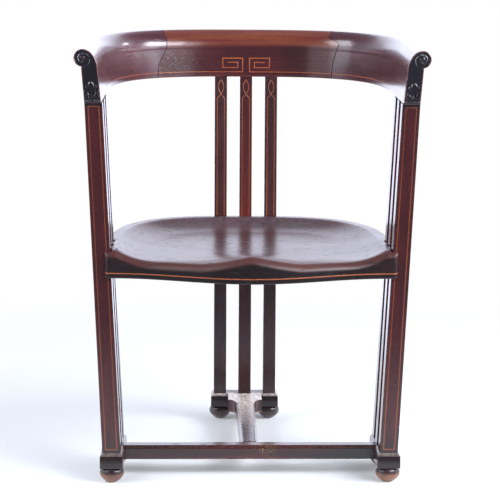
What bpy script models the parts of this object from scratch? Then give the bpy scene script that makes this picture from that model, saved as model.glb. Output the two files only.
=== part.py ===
"""Inlaid tub armchair in mahogany.

Three like groups stand at the left, the right and the back: a plinth on two bun feet with three square
posts that lean outwards. The posts are let into a dished seat and carry a rolled horseshoe rail.

Lengths are in metres. In the chair's own frame y runs back from the front legs' faces, and each group
has a frame of its own in which x runs outwards from the sitter and y runs along the plinth.
"""

import math
from typing import NamedTuple

import bmesh
import bpy
from mathutils import Matrix, Vector

for leftover in list(bpy.data.objects):
    bpy.data.objects.remove(leftover)

# Fits
FIT = 0.0003                    # gap between pieces that touch
PROUD = 0.002                   # how far a cut runs past the face that it opens

# Bun feet
FOOT_HEIGHT = 0.0267
FOOT_DIAMETER = 0.0434
FOOT_NECK_DIAMETER = 0.026
FOOT_PAD_DIAMETER = 0.018
FOOT_BULGE_HEIGHT = 0.0158
FOOT_TAPER_POWER = 1.64         # how quickly the bun draws in towards the floor
FOOT_INSET = 0.0185             # plinth end to foot centre
SPIGOT_DIAMETER = 0.016
SPIGOT_LENGTH = 0.010

# Plinths
PLINTH_HEIGHT = 0.0269
PLINTH_WIDTH = 0.041
PLINTH_MARGIN = 0.0055          # plinth end beyond the outer posts
PLINTH_CHAMFER_RISE = 0.0062
PLINTH_CHAMFER_RUN = 0.0043

# Posts
POST_WIDTH = 0.0323             # from the sitter's side to the outside, at the plinth
POST_TOP_WIDTH = 0.0306
POST_THICKNESS = 0.0253         # along the plinth
POST_TOP_THICKNESS = 0.0244
POST_PITCH = 0.050
POST_LEAN = 0.0435              # outward travel for each metre of height
POST_SHOULDER = 0.006
PLINTH_TENON = 0.010
RAIL_TENON = 0.028
SIDE_SPREAD = 0.2449            # centre line to the side posts, at the plinth
BACK_DEPTH = 0.4501             # front legs' faces to the back posts, at the plinth

# Seat
SEAT_RIM_HEIGHT = 0.4159
SEAT_THICKNESS = 0.048
SEAT_SIDE_NOTCH = 0.0100        # depth to which a side post is let into the seat's edge
SEAT_BACK_NOTCH = 0.0076        # depth to which a back post is let into it
SEAT_LIP = 0.008                # seat corners in front of the front legs
SEAT_BOW = 0.060                # middle of the front edge in front of the corners
SEAT_CORNER_RADIUS = 0.011
SEAT_STRAIGHT = 0.100           # where the seat's sides begin to curve round
SEAT_RIM = 0.021
SEAT_ARRIS = 0.002
FRONT_BEVEL_RUN = 0.018
FRONT_BEVEL_DROP = 0.014
DISH_DEPTH = 0.0215
DISH_WALL = 0.062
DISH_FRONT_REACH = 0.055        # front edge's brow to the hollow's floor
DISH_FRONT_LIFT = 0.0045        # hollow's floor at the front edge, above the rest of it
DISH_LIFT_START = 0.100
POMMEL_RISE = 0.015
POMMEL_SPREAD = 0.080
POMMEL_LENGTH = 0.140
POMMEL_RIDGE = 0.005            # radius of the pommel's crown
POMMEL_POWER = 1.2

# Rolled rail
RAIL_FRONT_HEIGHT = 0.6690      # underside at the front legs' faces
RAIL_RISE = 0.0553              # rise towards the back for each metre of depth
RAIL_HEIGHT = 0.0915
RAIL_THICKNESS = 0.029
RAIL_REVEAL = 0.0018            # posts stand this far inside the rail's lower edge
RAIL_STRAIGHT = 0.150           # where the arms begin to curve round
RAIL_FACE_HEIGHT = 0.054
RAIL_FACE_FLARE = 0.0052
ROLL_RADIUS = 0.015
ROLL_CENTRE = 0.0315
ROLL_END_ANGLE = math.radians(-80.0)
RAIL_JOINT = 0.170              # centre line to the joints between the crest and the arms
PLAN_POWER = 3.0                # squareness of the seat's and the rail's curves
DOWEL_DIAMETER = 0.008
DOWEL_LENGTH = 0.032
DOWEL_HEIGHTS = {"lower": 0.018, "upper": 0.048}
DOWEL_SETBACK = 0.017           # rail's inner lower edge to the dowels

# Stretchers
STRETCHER_WIDTH = 0.029
STRETCHER_THICKNESS = 0.0250
STRETCHER_CHAMFER = 0.0034
STUB_SHOULDER = 0.003
STUB_WIDTH = 0.018
STUB_LENGTH = 0.008
STUB_WEB = 0.0015               # wood left between a stub tenon and the post above it
STEM_FRONT_WIDTH = 0.032
STEM_BACK_WIDTH = 0.036
STEM_TENON = 0.012
STEM_SHOULDER = 0.006
HEAD_WIDTH = 0.068
HEAD_LENGTH = 0.0476

# Seat screws and their wooden pellets
SCREW_LENGTH = 0.045
SCREW_DIAMETER = 0.004
SCREW_HEAD_DIAMETER = 0.008
SCREW_HEAD_HEIGHT = 0.003
SCREW_POINT = 0.006
PELLET_DIAMETER = 0.010
PELLET_LENGTH = 0.006

# Stringing
STRING_WIDTH = 0.0018
STRING_DEPTH = 0.0012
LEG_STRING_INSET = 0.0063
LEG_STRING_BASE = 0.0067        # above the plinth
LEG_STRING_TOP = 0.0052         # below the rail
BACK_STRING_SPACING = 0.0144
BACK_STRING_BASE = 0.0015       # above the seat's rim
LOOP_TOP = 0.0064               # below the rail
LOOP_HEIGHT = 0.029
LOOP_WIDTH = 0.011
LOOP_FLARE = 0.008
LOOP_FLARE_POWER = 1.5          # how quickly the strings bend in to their crossing
SEAT_STRING_RAISE = 0.009
RAIL_STRING_RAISE = 0.0097
KEY_GAP = 0.0138                # between the two Greek keys
KEY_WIDTH = 0.0395
KEY_HEIGHT = 0.0268
KEY_STEP_ACROSS = 0.0095
KEY_STEP_UP = 0.0083

# Facets
FOOT_SIDES = 20
FOOT_CROWN_STEPS = 4
FOOT_TAPER_STEPS = 6
BORE_SIDES = 12
CURVE_STEPS = 18
CREST_STEPS = 24
ROLL_STEPS = 6
FRONT_STEPS = 14
CORNER_STEPS = 4
COVE_STEPS = 6
FLARE_STEPS = 4
LOOP_STEPS = 10
WALL_RINGS = ((0.0, 0.2), (1 / 8, 0.3), (1 / 3, 0.5), (1.0, 1.0))   # rings down into the hollow, as
                                # shares of its wall at the sides and of its reach at the front
FLOOR_RINGS = 5
SHARP_ANGLE = math.radians(35.0)
SETTLE_PASSES = 6               # passes that find where sloping faces meet
MERGE_GAP = 0.000001

# Sizes that follow
PLINTH_BASE = FOOT_HEIGHT + FIT
PLINTH_TOP = PLINTH_BASE + PLINTH_HEIGHT
PLINTH_LENGTH = 2 * POST_PITCH + POST_THICKNESS + 2 * PLINTH_MARGIN
SIDE_DEPTH = POST_PITCH + POST_THICKNESS / 2
SEAT_BASE_HEIGHT = SEAT_RIM_HEIGHT - SEAT_THICKNESS
STRETCHER_BASE = PLINTH_TOP - STRETCHER_THICKNESS


class Group(NamedTuple):
    """A plinth with its posts, named along the plinth, and the turn that faces it outwards."""

    name: str
    centre: tuple
    turn: float
    posts: tuple

    def matrix(self):
        """Place of the group in the chair's frame."""
        return Matrix.Translation((*self.centre, 0)) @ Matrix.Rotation(self.turn, 4, "Z")


GROUPS = (
    Group("left", (-SIDE_SPREAD, SIDE_DEPTH), math.pi,
          ("rear_post_left", "middle_post_left", "front_leg_left")),
    Group("right", (SIDE_SPREAD, SIDE_DEPTH), 0.0,
          ("front_leg_right", "middle_post_right", "rear_post_right")),
    Group("back", (0.0, BACK_DEPTH), math.pi / 2,
          ("back_post_right", "back_post_center", "back_post_left")),
)
POST_OFFSETS = (-POST_PITCH, 0.0, POST_PITCH)


def finish(name, colour, roughness, metallic=0.0):
    """Make a plain surface from a linear red, green and blue."""
    made = bpy.data.materials.new(name)
    made.use_nodes = True
    shader = made.node_tree.nodes["Principled BSDF"]
    shader.inputs["Base Color"].default_value = (*colour, 1.0)
    shader.inputs["Roughness"].default_value = roughness
    shader.inputs["Metallic"].default_value = metallic
    return made


POLISHED = finish("polished_mahogany", (0.069, 0.023, 0.019), 0.25)
DARK = finish("dark_mahogany", (0.023, 0.010, 0.010), 0.25)
WORN = finish("worn_mahogany", (0.156, 0.061, 0.034), 0.40)
STRINGING = finish("stringing", (0.376, 0.098, 0.027), 0.35)
BEECH = finish("plain_beech", (0.462, 0.254, 0.102), 0.60)
STEEL = finish("steel", (0.202, 0.202, 0.216), 0.40, 1.0)


def empty(name, parent, matrix):
    """Add an empty that carries other pieces."""
    carrier = bpy.data.objects.new(name, None)
    bpy.context.scene.collection.objects.link(carrier)
    carrier.parent = parent
    carrier.matrix_local = matrix
    return carrier


def add(name, bm, parent, surface, smooth=False):
    """Turn a closed bmesh into a named piece whose faces point outwards."""
    bmesh.ops.recalc_face_normals(bm, faces=bm.faces)
    mesh = bpy.data.meshes.new(name)
    bm.to_mesh(mesh)
    bm.free()
    if smooth:
        mesh.shade_smooth()
        mesh.set_sharp_from_angle(angle=SHARP_ANGLE)
    piece = bpy.data.objects.new(name, mesh)
    bpy.context.scene.collection.objects.link(piece)
    piece.parent = parent
    if surface:
        mesh.materials.append(surface)
    else:
        piece.hide_render = True
        piece.display_type = "WIRE"
    return piece


def tool(name, bm, parent):
    """Add a shape that only cuts, or is joined to, another piece."""
    return add(name, bm, parent, None)


def combine(piece, operation, tools):
    """Cut tools from a piece, or join them to it."""
    together = bpy.data.collections.new(f"{piece.name} {operation.lower()}")
    bpy.context.scene.collection.children.link(together)
    for shape in tools:
        together.objects.link(shape)
    step = piece.modifiers.new(operation.title(), "BOOLEAN")
    step.operation = operation
    step.operand_type = "COLLECTION"
    step.collection = together
    step.solver = "EXACT"


def loft(rings, closed=False):
    """Skin a run of equal rings of points, capped at its ends or joined round."""
    bm = bmesh.new()
    rows = [[bm.verts.new(point) for point in ring] for ring in rings]
    pairs = list(zip(rows, rows[1:]))
    if closed:
        pairs.append((rows[-1], rows[0]))
    else:
        bm.faces.new(reversed(rows[0]))
        bm.faces.new(rows[-1])
    for low, high in pairs:
        for i, corner in enumerate(low):
            after = (i + 1) % len(low)
            bm.faces.new((corner, low[after], high[after], high[i]))
    return bm


def turned(profile, sides):
    """Spin a profile of (radius, height) pairs, from its top to its bottom, about z."""
    bm = bmesh.new()
    points = [bm.verts.new((radius, 0, height)) for radius, height in profile]
    edges = [bm.edges.new(pair) for pair in zip(points, points[1:])]
    bmesh.ops.spin(bm, geom=points + edges, axis=(0, 0, 1), cent=(0, 0, 0),
                   angle=2 * math.pi, steps=sides)
    bmesh.ops.remove_doubles(bm, verts=bm.verts, dist=MERGE_GAP)
    return bm


def box(low, high):
    """Block between two corners."""
    return loft([[(low[0], low[1], z), (high[0], low[1], z), (high[0], high[1], z), (low[0], high[1], z)]
                 for z in (low[2], high[2])])


def ribbon(route, place, grow=0.0, closed=False):
    """Lay a string along a flat route, mitred at its corners; grow widens it into its groove.

    place(a, b, depth) sets a point of the flat route on the wood, at a depth below the surface.
    """
    flat = [Vector(point) for point in route]
    if grow and not closed:
        flat[0] += (flat[0] - flat[1]).normalized() * grow
        flat[-1] += (flat[-1] - flat[-2]).normalized() * grow
    half = STRING_WIDTH / 2 + grow
    depths = (-PROUD, STRING_DEPTH + grow) if grow else (0.0, STRING_DEPTH)
    rings = []
    for i, point in enumerate(flat):
        ahead = flat[(i + 1) % len(flat)] if closed or i + 1 < len(flat) else 2 * point - flat[i - 1]
        behind = flat[i - 1] if closed or i else 2 * point - ahead
        before = (point - behind).normalized().orthogonal()
        after = (ahead - point).normalized().orthogonal()
        mitre = (before + after) * half / (1 + before.dot(after))
        left = point + mitre
        right = point - mitre
        rings.append([place(*left, depths[0]), place(*right, depths[0]),
                      place(*right, depths[1]), place(*left, depths[1])])
    return loft(rings, closed)


def inlay(name, routes, place, parent, closed=False):
    """Make a string of crossing routes, and the grooves that it lies in."""
    shapes = [ribbon(route, place, closed=closed) for route in routes]
    string = add(name, shapes[0], parent, STRINGING)
    if shapes[1:]:
        combine(string, "UNION", [tool(f"{name} branch", shape, parent) for shape in shapes[1:]])
    return [tool(f"{name} groove", ribbon(route, place, FIT, closed), parent) for route in routes]


def rail_underside(depth):
    """Height of the rail's flat underside."""
    return RAIL_FRONT_HEIGHT + RAIL_RISE * depth


def post_half_sizes(height):
    """Half the width and thickness of the tapered posts."""
    share = (height - PLINTH_TOP) / (RAIL_FRONT_HEIGHT - PLINTH_TOP)
    width = POST_WIDTH + (POST_TOP_WIDTH - POST_WIDTH) * share
    thickness = POST_THICKNESS + (POST_TOP_THICKNESS - POST_THICKNESS) * share
    return width / 2, thickness / 2


def post_axis(height):
    """Outward travel of a leaning post's middle."""
    return POST_LEAN * (height - PLINTH_TOP)


def inner_face(height):
    """Place of a post's inner face in its group's frame."""
    return post_axis(height) - post_half_sizes(height)[0]


def back_face_at_rail():
    """Depth at which the back posts' inner faces meet the rail; a few passes settle the slopes."""
    depth = BACK_DEPTH
    for _ in range(SETTLE_PASSES):
        depth = BACK_DEPTH + inner_face(rail_underside(depth))
    return depth


RAIL_HALF_WIDTH = SIDE_SPREAD + inner_face(RAIL_FRONT_HEIGHT) + RAIL_REVEAL
RAIL_DEPTH = back_face_at_rail() + RAIL_REVEAL
SEAT_HALF_WIDTH = SIDE_SPREAD + inner_face(SEAT_RIM_HEIGHT) + SEAT_SIDE_NOTCH
SEAT_DEPTH = BACK_DEPTH + inner_face(SEAT_RIM_HEIGHT) + SEAT_BACK_NOTCH
CHAIR_FRONT = -SEAT_LIP - SEAT_BOW
CHAIR_BACK = RAIL_DEPTH + ROLL_CENTRE + ROLL_RADIUS


def post_ring(group, offset, level, inset=0.0):
    """Section of a post, drawn in by an inset, where it meets the surface level(depth)."""
    ring = []
    for side, edge in ((1, 1), (-1, 1), (-1, -1), (1, -1)):
        height = PLINTH_TOP
        for _ in range(SETTLE_PASSES):
            half_width, half_thickness = post_half_sizes(height)
            corner = Vector((post_axis(height) + side * (half_width - inset),
                             offset + edge * (half_thickness - inset), 0))
            height = level((group.matrix() @ corner).y)
        ring.append(corner + Vector((0, 0, height)))
    return ring


def post_shape(group, offset, levels, grow=0.0):
    """Plain stretch of a post between two surfaces, widened by grow."""
    return loft([post_ring(group, offset, level, -grow) for level in levels])


def tenoned_post(group, offset):
    """Post with a shoulder and a tenon at both ends."""
    return loft([
        post_ring(group, offset, lambda depth: PLINTH_TOP - PLINTH_TENON, POST_SHOULDER),
        post_ring(group, offset, lambda depth: PLINTH_TOP + FIT, POST_SHOULDER),
        post_ring(group, offset, lambda depth: PLINTH_TOP + FIT),
        post_ring(group, offset, lambda depth: rail_underside(depth) - FIT),
        post_ring(group, offset, lambda depth: rail_underside(depth) - FIT, POST_SHOULDER),
        post_ring(group, offset, lambda depth: rail_underside(depth) + RAIL_TENON, POST_SHOULDER),
    ])


def seat_screw(post_name, offset, parent):
    """Screw through a post into the seat, its pellet, and the way that both are bored."""
    height = SEAT_RIM_HEIGHT - SEAT_THICKNESS / 2
    half_width = post_half_sizes(height)[0]
    face_slope = POST_LEAN - (POST_WIDTH - POST_TOP_WIDTH) / 2 / (RAIL_FRONT_HEIGHT - PLINTH_TOP)
    head = PELLET_LENGTH + FIT
    neck = head + SCREW_HEAD_HEIGHT
    point = neck + SCREW_LENGTH
    shank = SCREW_DIAMETER / 2
    screw = add(f"seat_screw_{post_name}", turned([
        (0, -head), (SCREW_HEAD_DIAMETER / 2, -head), (SCREW_HEAD_DIAMETER / 2, -neck),
        (shank, -neck), (shank, SCREW_POINT - point), (0, -point)], BORE_SIDES), parent, STEEL, True)
    pellet = add(f"pellet_{post_name}", turned([
        (0, 0), (PELLET_DIAMETER / 2, 0), (PELLET_DIAMETER / 2, -PELLET_LENGTH), (0, -PELLET_LENGTH)],
        BORE_SIDES), parent, POLISHED, True)
    wide = PELLET_DIAMETER / 2 + FIT
    way = tool(f"screw way {post_name}", turned([
        (0, PROUD), (wide, PROUD), (wide, -neck - FIT), (shank + FIT, -neck - FIT),
        (shank + FIT, -point - FIT), (0, -point - FIT)], BORE_SIDES), parent)
    for shape in (screw, pellet, way):
        shape.location = (post_axis(height) + half_width, offset, height)
        shape.rotation_euler = (0, math.pi / 2 + math.atan(face_slope), 0)
    return way


def leg_stringing(group, offset, side, parent):
    """String that frames the face of a front leg; its groove."""
    front = -1 if group.turn == 0 else 1
    base = PLINTH_TOP + LEG_STRING_BASE
    top = RAIL_FRONT_HEIGHT - LEG_STRING_TOP
    low = post_half_sizes(base)[0] - LEG_STRING_INSET
    high = post_half_sizes(top)[0] - LEG_STRING_INSET

    def place(across, height, depth):
        thickness = post_half_sizes(height)[1]
        return Vector((post_axis(height) + across, offset + front * (thickness - depth), height))

    route = [(-low, base), (low, base), (high, top), (-high, top)]
    return inlay(f"leg_stringing_{side}", [route], place, parent, closed=True)


def back_stringing(offset, side, parent):
    """Pair of strings that cross below the rail and close in a pointed loop; their grooves."""
    top = rail_underside(RAIL_DEPTH) - LOOP_TOP
    crossing = top - LOOP_HEIGHT
    half = BACK_STRING_SPACING / 2

    def place(across, height, depth):
        return Vector((inner_face(height) + depth, offset + across, height))

    route = [(-half, SEAT_RIM_HEIGHT + BACK_STRING_BASE)]
    for step in range(FLARE_STEPS + 1):
        angle = math.pi / 2 * (1 - step / FLARE_STEPS)
        fall = 1 - math.cos(angle) ** LOOP_FLARE_POWER
        route.append((-half * math.sin(angle), crossing - LOOP_FLARE * fall))
    for step in range(1, LOOP_STEPS + 1):
        share = step / LOOP_STEPS
        route.append((LOOP_WIDTH / 2 * math.sin(math.pi * share), crossing + LOOP_HEIGHT * share))
    mirrored = [(-across, height) for across, height in route]
    return inlay(f"back_stringing_{side}", [route, mirrored], place, parent)


def bun_foot():
    """Turned bun foot with its spigot, standing on the floor."""
    bulge = FOOT_DIAMETER / 2
    neck = FOOT_NECK_DIAMETER / 2
    pad = FOOT_PAD_DIAMETER / 2
    crown = FOOT_HEIGHT - FOOT_BULGE_HEIGHT
    profile = [(0, FOOT_HEIGHT + SPIGOT_LENGTH), (SPIGOT_DIAMETER / 2, FOOT_HEIGHT + SPIGOT_LENGTH),
               (SPIGOT_DIAMETER / 2, FOOT_HEIGHT)]
    for step in range(FOOT_CROWN_STEPS + 1):
        angle = math.pi / 2 * (1 - step / FOOT_CROWN_STEPS)
        radius = neck + (bulge - neck) * math.cos(angle)
        profile.append((radius, FOOT_BULGE_HEIGHT + crown * math.sin(angle)))
    for step in range(1, FOOT_TAPER_STEPS + 1):
        fall = step / FOOT_TAPER_STEPS
        radius = pad + (bulge - pad) * (1 - fall ** FOOT_TAPER_POWER)
        profile.append((radius, FOOT_BULGE_HEIGHT * (1 - fall)))
    profile.append((0, 0))
    return turned(profile, FOOT_SIDES)


def plinth_shape():
    """Plinth block with a chamfer round its top."""
    rings = []
    for inset, height in ((0, PLINTH_BASE), (0, PLINTH_TOP - PLINTH_CHAMFER_RISE),
                          (PLINTH_CHAMFER_RUN, PLINTH_TOP)):
        across = PLINTH_WIDTH / 2 - inset
        along = PLINTH_LENGTH / 2 - inset
        rings.append([(across, along, height), (-across, along, height),
                      (-across, -along, height), (across, -along, height)])
    return loft(rings)


def build_group(group, chair):
    """Make a group's plinth, feet, posts, screws and strings; give back what later cuts need."""
    carrier = empty(f"{group.name} group", chair, group.matrix())
    plinth = add(f"plinth_{group.name}", plinth_shape(), carrier, POLISHED)
    plinth_cuts = []
    foot_names = {"left": ("rear", "front"), "right": ("front", "rear"), "back": ("right", "left")}
    reach = PLINTH_LENGTH / 2 - FOOT_INSET
    for place, along in zip(foot_names[group.name], (-reach, reach)):
        foot = add(f"foot_{group.name}_{place}", bun_foot(), carrier, WORN, True)
        radius = SPIGOT_DIAMETER / 2 + FIT
        top = FOOT_HEIGHT + SPIGOT_LENGTH + FIT
        bottom = FOOT_HEIGHT - PROUD
        socket = tool(f"socket {foot.name}", turned(
            [(0, top), (radius, top), (radius, bottom), (0, bottom)], FOOT_SIDES), carrier)
        for shape in (foot, socket):
            shape.location = (0, along, 0)
        plinth_cuts.append(socket)
    seat_cuts = []
    rail_cuts = []
    for name, offset in zip(group.posts, POST_OFFSETS):
        post = add(name, tenoned_post(group, offset), carrier, POLISHED)
        way = seat_screw(name, offset, carrier)
        cuts = [way]
        side = name.rsplit("_", 1)[1]
        if name.startswith("front_leg"):
            cuts += leg_stringing(group, offset, side, carrier)
        if group.name == "back":
            cuts += back_stringing(offset, side, carrier)
        combine(post, "DIFFERENCE", cuts)
        plinth_cuts.append(tool(f"plinth mortise {name}", post_shape(
            group, offset, (lambda depth: PLINTH_TOP - PLINTH_TENON - FIT, lambda depth: PLINTH_TOP + PROUD),
            FIT - POST_SHOULDER), carrier))
        rail_cuts.append(tool(f"rail mortise {name}", post_shape(
            group, offset, (lambda depth: rail_underside(depth) - PROUD,
                            lambda depth: rail_underside(depth) + RAIL_TENON + FIT),
            FIT - POST_SHOULDER), carrier))
        seat_cuts.append(way)
        seat_cuts.append(tool(f"seat notch {name}", post_shape(
            group, offset, (lambda depth: SEAT_BASE_HEIGHT - PROUD, lambda depth: SEAT_RIM_HEIGHT + PROUD),
            FIT), carrier))
    return plinth, plinth_cuts, seat_cuts, rail_cuts


def plan_curve(half_width, straight, reach, angle):
    """Point and outward direction on a squared curve, from the right side (0) to the left (pi)."""
    across = math.copysign(abs(math.cos(angle)) ** (2 / PLAN_POWER), math.cos(angle))
    along = max(math.sin(angle), 0.0) ** (2 / PLAN_POWER)
    outward = Vector((math.copysign(abs(across) ** (PLAN_POWER - 1), across) / half_width,
                      along ** (PLAN_POWER - 1) / reach))
    return Vector((half_width * across, straight + reach * along)), outward.normalized()


def rail_section():
    """Outline of the rail as (outwards, up) from its inner lower edge: a flared face and a rolled top."""
    points = [(0.0, 0.0), (RAIL_FACE_FLARE, RAIL_FACE_HEIGHT)]
    for step in range(1, ROLL_STEPS + 1):
        angle = math.pi / 2 * step / ROLL_STEPS
        points.append((ROLL_CENTRE - (ROLL_CENTRE - RAIL_FACE_FLARE) * math.cos(angle),
                       RAIL_FACE_HEIGHT + (RAIL_HEIGHT - RAIL_FACE_HEIGHT) * math.sin(angle)))
    for step in range(1, ROLL_STEPS + 1):
        angle = math.pi / 2 + (ROLL_END_ANGLE - math.pi / 2) * step / ROLL_STEPS
        points.append((ROLL_CENTRE + ROLL_RADIUS * math.cos(angle),
                       RAIL_HEIGHT - ROLL_RADIUS + ROLL_RADIUS * math.sin(angle)))
    points.append((RAIL_THICKNESS, 0.0))
    return points


def rail_place(point, outward, out, up):
    """Set a point of the rail's section at a station of its plan."""
    flat = point + outward * out
    return Vector((*flat, rail_underside(flat.y) + up))


def rail_face(point, outward, up, depth):
    """Set a point of the rail's inner face, at a depth below it."""
    return rail_place(point, outward, RAIL_FACE_FLARE * up / RAIL_FACE_HEIGHT + depth, up)


def rail_curve(angle):
    """Point and outward direction of the rail's inner lower edge."""
    return plan_curve(RAIL_HALF_WIDTH, RAIL_STRAIGHT, RAIL_DEPTH - RAIL_STRAIGHT, angle)


def rail_joint_angle():
    """Place on the plan curve where the right arm meets the crest."""
    return math.acos((RAIL_JOINT / RAIL_HALF_WIDTH) ** (PLAN_POWER / 2))


def arm_stations(side):
    """Stations of an arm from its scroll end to its joint; side is 1 on the right and -1 on the left."""
    joint = rail_joint_angle()
    stations = [(Vector((RAIL_HALF_WIDTH, 0.0)), Vector((1.0, 0.0)))]
    stations += [rail_curve(joint * step / CURVE_STEPS) for step in range(CURVE_STEPS + 1)]
    point, outward = stations[-1]
    stations[-1] = (point - Vector((-outward.y, outward.x)) * FIT / 2, outward)
    return [(Vector((side * p.x, p.y)), Vector((side * o.x, o.y))) for p, o in stations]


def crest_stations():
    """Stations of the crest from its right joint to its left one."""
    joint = rail_joint_angle()
    sweep = math.pi - 2 * joint
    stations = [rail_curve(joint + sweep * step / CREST_STEPS) for step in range(CREST_STEPS + 1)]
    for end, sign in ((0, 1), (-1, -1)):
        point, outward = stations[end]
        stations[end] = (point + sign * Vector((-outward.y, outward.x)) * FIT / 2, outward)
    return stations


def rail_sweep(stations):
    """Carry the rail's section along its stations."""
    section = rail_section()
    return loft([[rail_place(point, outward, out, up) for out, up in section]
                 for point, outward in stations])


def arm_stringing(side_name, stations, chair):
    """String along an arm's inner face; its groove."""

    def place(along, up, depth):
        index = min(max(math.floor(along), 0), len(stations) - 2)
        share = along - index
        ends = [rail_face(*station, up, depth) for station in stations[index:index + 2]]
        return ends[0].lerp(ends[1], share)

    margin = STRING_WIDTH / (stations[1][0] - stations[0][0]).length
    route = [(margin, RAIL_STRING_RAISE)]
    route += [(index, RAIL_STRING_RAISE) for index in range(1, len(stations))]
    return inlay(f"arm_stringing_{side_name}", [route], place, chair)


def crest_stringing(side_name, side, stations, chair):
    """String along half of the crest, ending in a Greek key near the middle; its groove."""
    low = RAIL_STRING_RAISE
    top = low + KEY_HEIGHT
    near = KEY_GAP / 2
    far = near + KEY_WIDTH
    reach = RAIL_DEPTH - RAIL_STRAIGHT

    def place(across, up, depth):
        angle = math.acos(math.copysign(abs(across / RAIL_HALF_WIDTH) ** (PLAN_POWER / 2), across))
        return rail_face(*plan_curve(RAIL_HALF_WIDTH, RAIL_STRAIGHT, reach, angle), up, depth)

    run = [abs(point.x) for point, outward in stations if side * point.x > near]
    run.sort(reverse=True)
    key = [(near, low), (near, top), (far, top), (far, low + KEY_STEP_UP),
           (near + KEY_STEP_ACROSS, low + KEY_STEP_UP), (near + KEY_STEP_ACROSS, top - KEY_STEP_UP),
           (far - KEY_STEP_ACROSS, top - KEY_STEP_UP)]
    route = [(side * across, up) for across, up in [(across, low) for across in run] + key]
    return inlay(f"crest_stringing_{side_name}", [route], place, chair)


def build_rail(chair, cuts_by_group):
    """Make the crest, the two arms, their dowels and their strings."""
    crest_line = crest_stations()
    crest = add("crest_rail", rail_sweep(crest_line), chair, POLISHED, True)
    crest_cuts = list(cuts_by_group["back"])
    joint_point, joint_outward = rail_curve(rail_joint_angle())
    for side_name, side in (("left", -1), ("right", 1)):
        line = arm_stations(side)
        arm = add(f"arm_rail_{side_name}", rail_sweep(line), chair, DARK, True)
        arm_cuts = list(cuts_by_group[side_name])
        point = Vector((side * joint_point.x, joint_point.y))
        outward = Vector((side * joint_outward.x, joint_outward.y))
        for level, up in DOWEL_HEIGHTS.items():
            middle = rail_place(point, outward, DOWEL_SETBACK, up)
            half = DOWEL_LENGTH / 2
            radius = DOWEL_DIAMETER / 2
            dowel = add(f"rail_dowel_{side_name}_{level}", turned(
                [(0, half), (radius, half), (radius, -half), (0, -half)], BORE_SIDES), chair, BEECH, True)
            bore = tool(f"dowel bore {side_name} {level}", turned(
                [(0, half + FIT), (radius + FIT, half + FIT), (radius + FIT, -half - FIT), (0, -half - FIT)],
                BORE_SIDES), chair)
            for shape in (dowel, bore):
                shape.location = middle
                shape.rotation_euler = Vector((-outward.y, outward.x, 0)).to_track_quat("Z", "Y").to_euler()
            arm_cuts.append(bore)
            crest_cuts.append(bore)
        arm_cuts += arm_stringing(side_name, line, chair)
        crest_cuts += crest_stringing(side_name, side, crest_line, chair)
        combine(arm, "DIFFERENCE", arm_cuts)
    combine(crest, "DIFFERENCE", crest_cuts)


def seat_outline(side_inset, front_inset):
    """Seat's plan drawn in from its sides and its front: points, outward directions and frontness."""
    half_width = SEAT_HALF_WIDTH - side_inset
    front = front_inset - SEAT_LIP
    radius = SEAT_CORNER_RADIUS
    half_front = half_width - radius
    right = []
    for step in range(FRONT_STEPS + 1):
        share = step / FRONT_STEPS
        slope = SEAT_BOW * math.pi / (2 * half_front) * math.sin(math.pi * share)
        right.append((Vector((half_front * share, front - SEAT_BOW * math.cos(math.pi / 2 * share) ** 2)),
                      Vector((slope, -1)).normalized(), 1.0))
    for step in range(1, CORNER_STEPS + 1):
        angle = math.pi / 2 * (step / CORNER_STEPS - 1)
        outward = Vector((math.cos(angle), math.sin(angle)))
        point = Vector((half_front, front + radius)) + outward * radius
        right.append((point, outward, 1 - step / CORNER_STEPS))
    for step in range(CURVE_STEPS + 1):
        point, outward = plan_curve(half_width, SEAT_STRAIGHT, SEAT_DEPTH - SEAT_STRAIGHT - side_inset,
                                    math.pi / 2 * step / CURVE_STEPS)
        right.append((point, outward, 0.0))
    left = [(Vector((-p.x, p.y)), Vector((-o.x, o.y)), f) for p, o, f in reversed(right[1:-1])]
    return right + left


def forwardness(point, length):
    """Eases from 0, at a length behind the seat's front edge, to 1 at that edge."""
    share = min(max(1 - (point.y - CHAIR_FRONT) / length, 0.0), 1.0)
    return share * share * (3 - 2 * share)


def seat_height(point):
    """Height of the dished top: a flat rim, a hollow that runs out at the front, and a pommel."""
    reach = SEAT_DEPTH - SEAT_STRAIGHT
    across = abs(point.x) / SEAT_HALF_WIDTH
    along = max(point.y - SEAT_STRAIGHT, 0.0) / reach
    level = (across ** PLAN_POWER + along ** PLAN_POWER) ** (1 / PLAN_POWER)
    if level == 0.0:
        from_edge = SEAT_HALF_WIDTH
    else:
        slope = math.hypot((across / level) ** (PLAN_POWER - 1) / SEAT_HALF_WIDTH,
                           (along / level) ** (PLAN_POWER - 1) / reach)
        from_edge = (1 - level) / slope
    sink = min(max((from_edge - SEAT_RIM) / DISH_WALL, 0.0), 1.0)
    away = (math.hypot(point.x, POMMEL_RIDGE) - POMMEL_RIDGE) / POMMEL_SPREAD
    pommel = POMMEL_RISE * max(1 - away, 0.0) ** POMMEL_POWER * forwardness(point, POMMEL_LENGTH)
    lift = DISH_FRONT_LIFT * forwardness(point, DISH_LIFT_START - CHAIR_FRONT)
    return SEAT_RIM_HEIGHT - (DISH_DEPTH - lift) * (1 - (1 - sink) ** 2) + pommel


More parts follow.
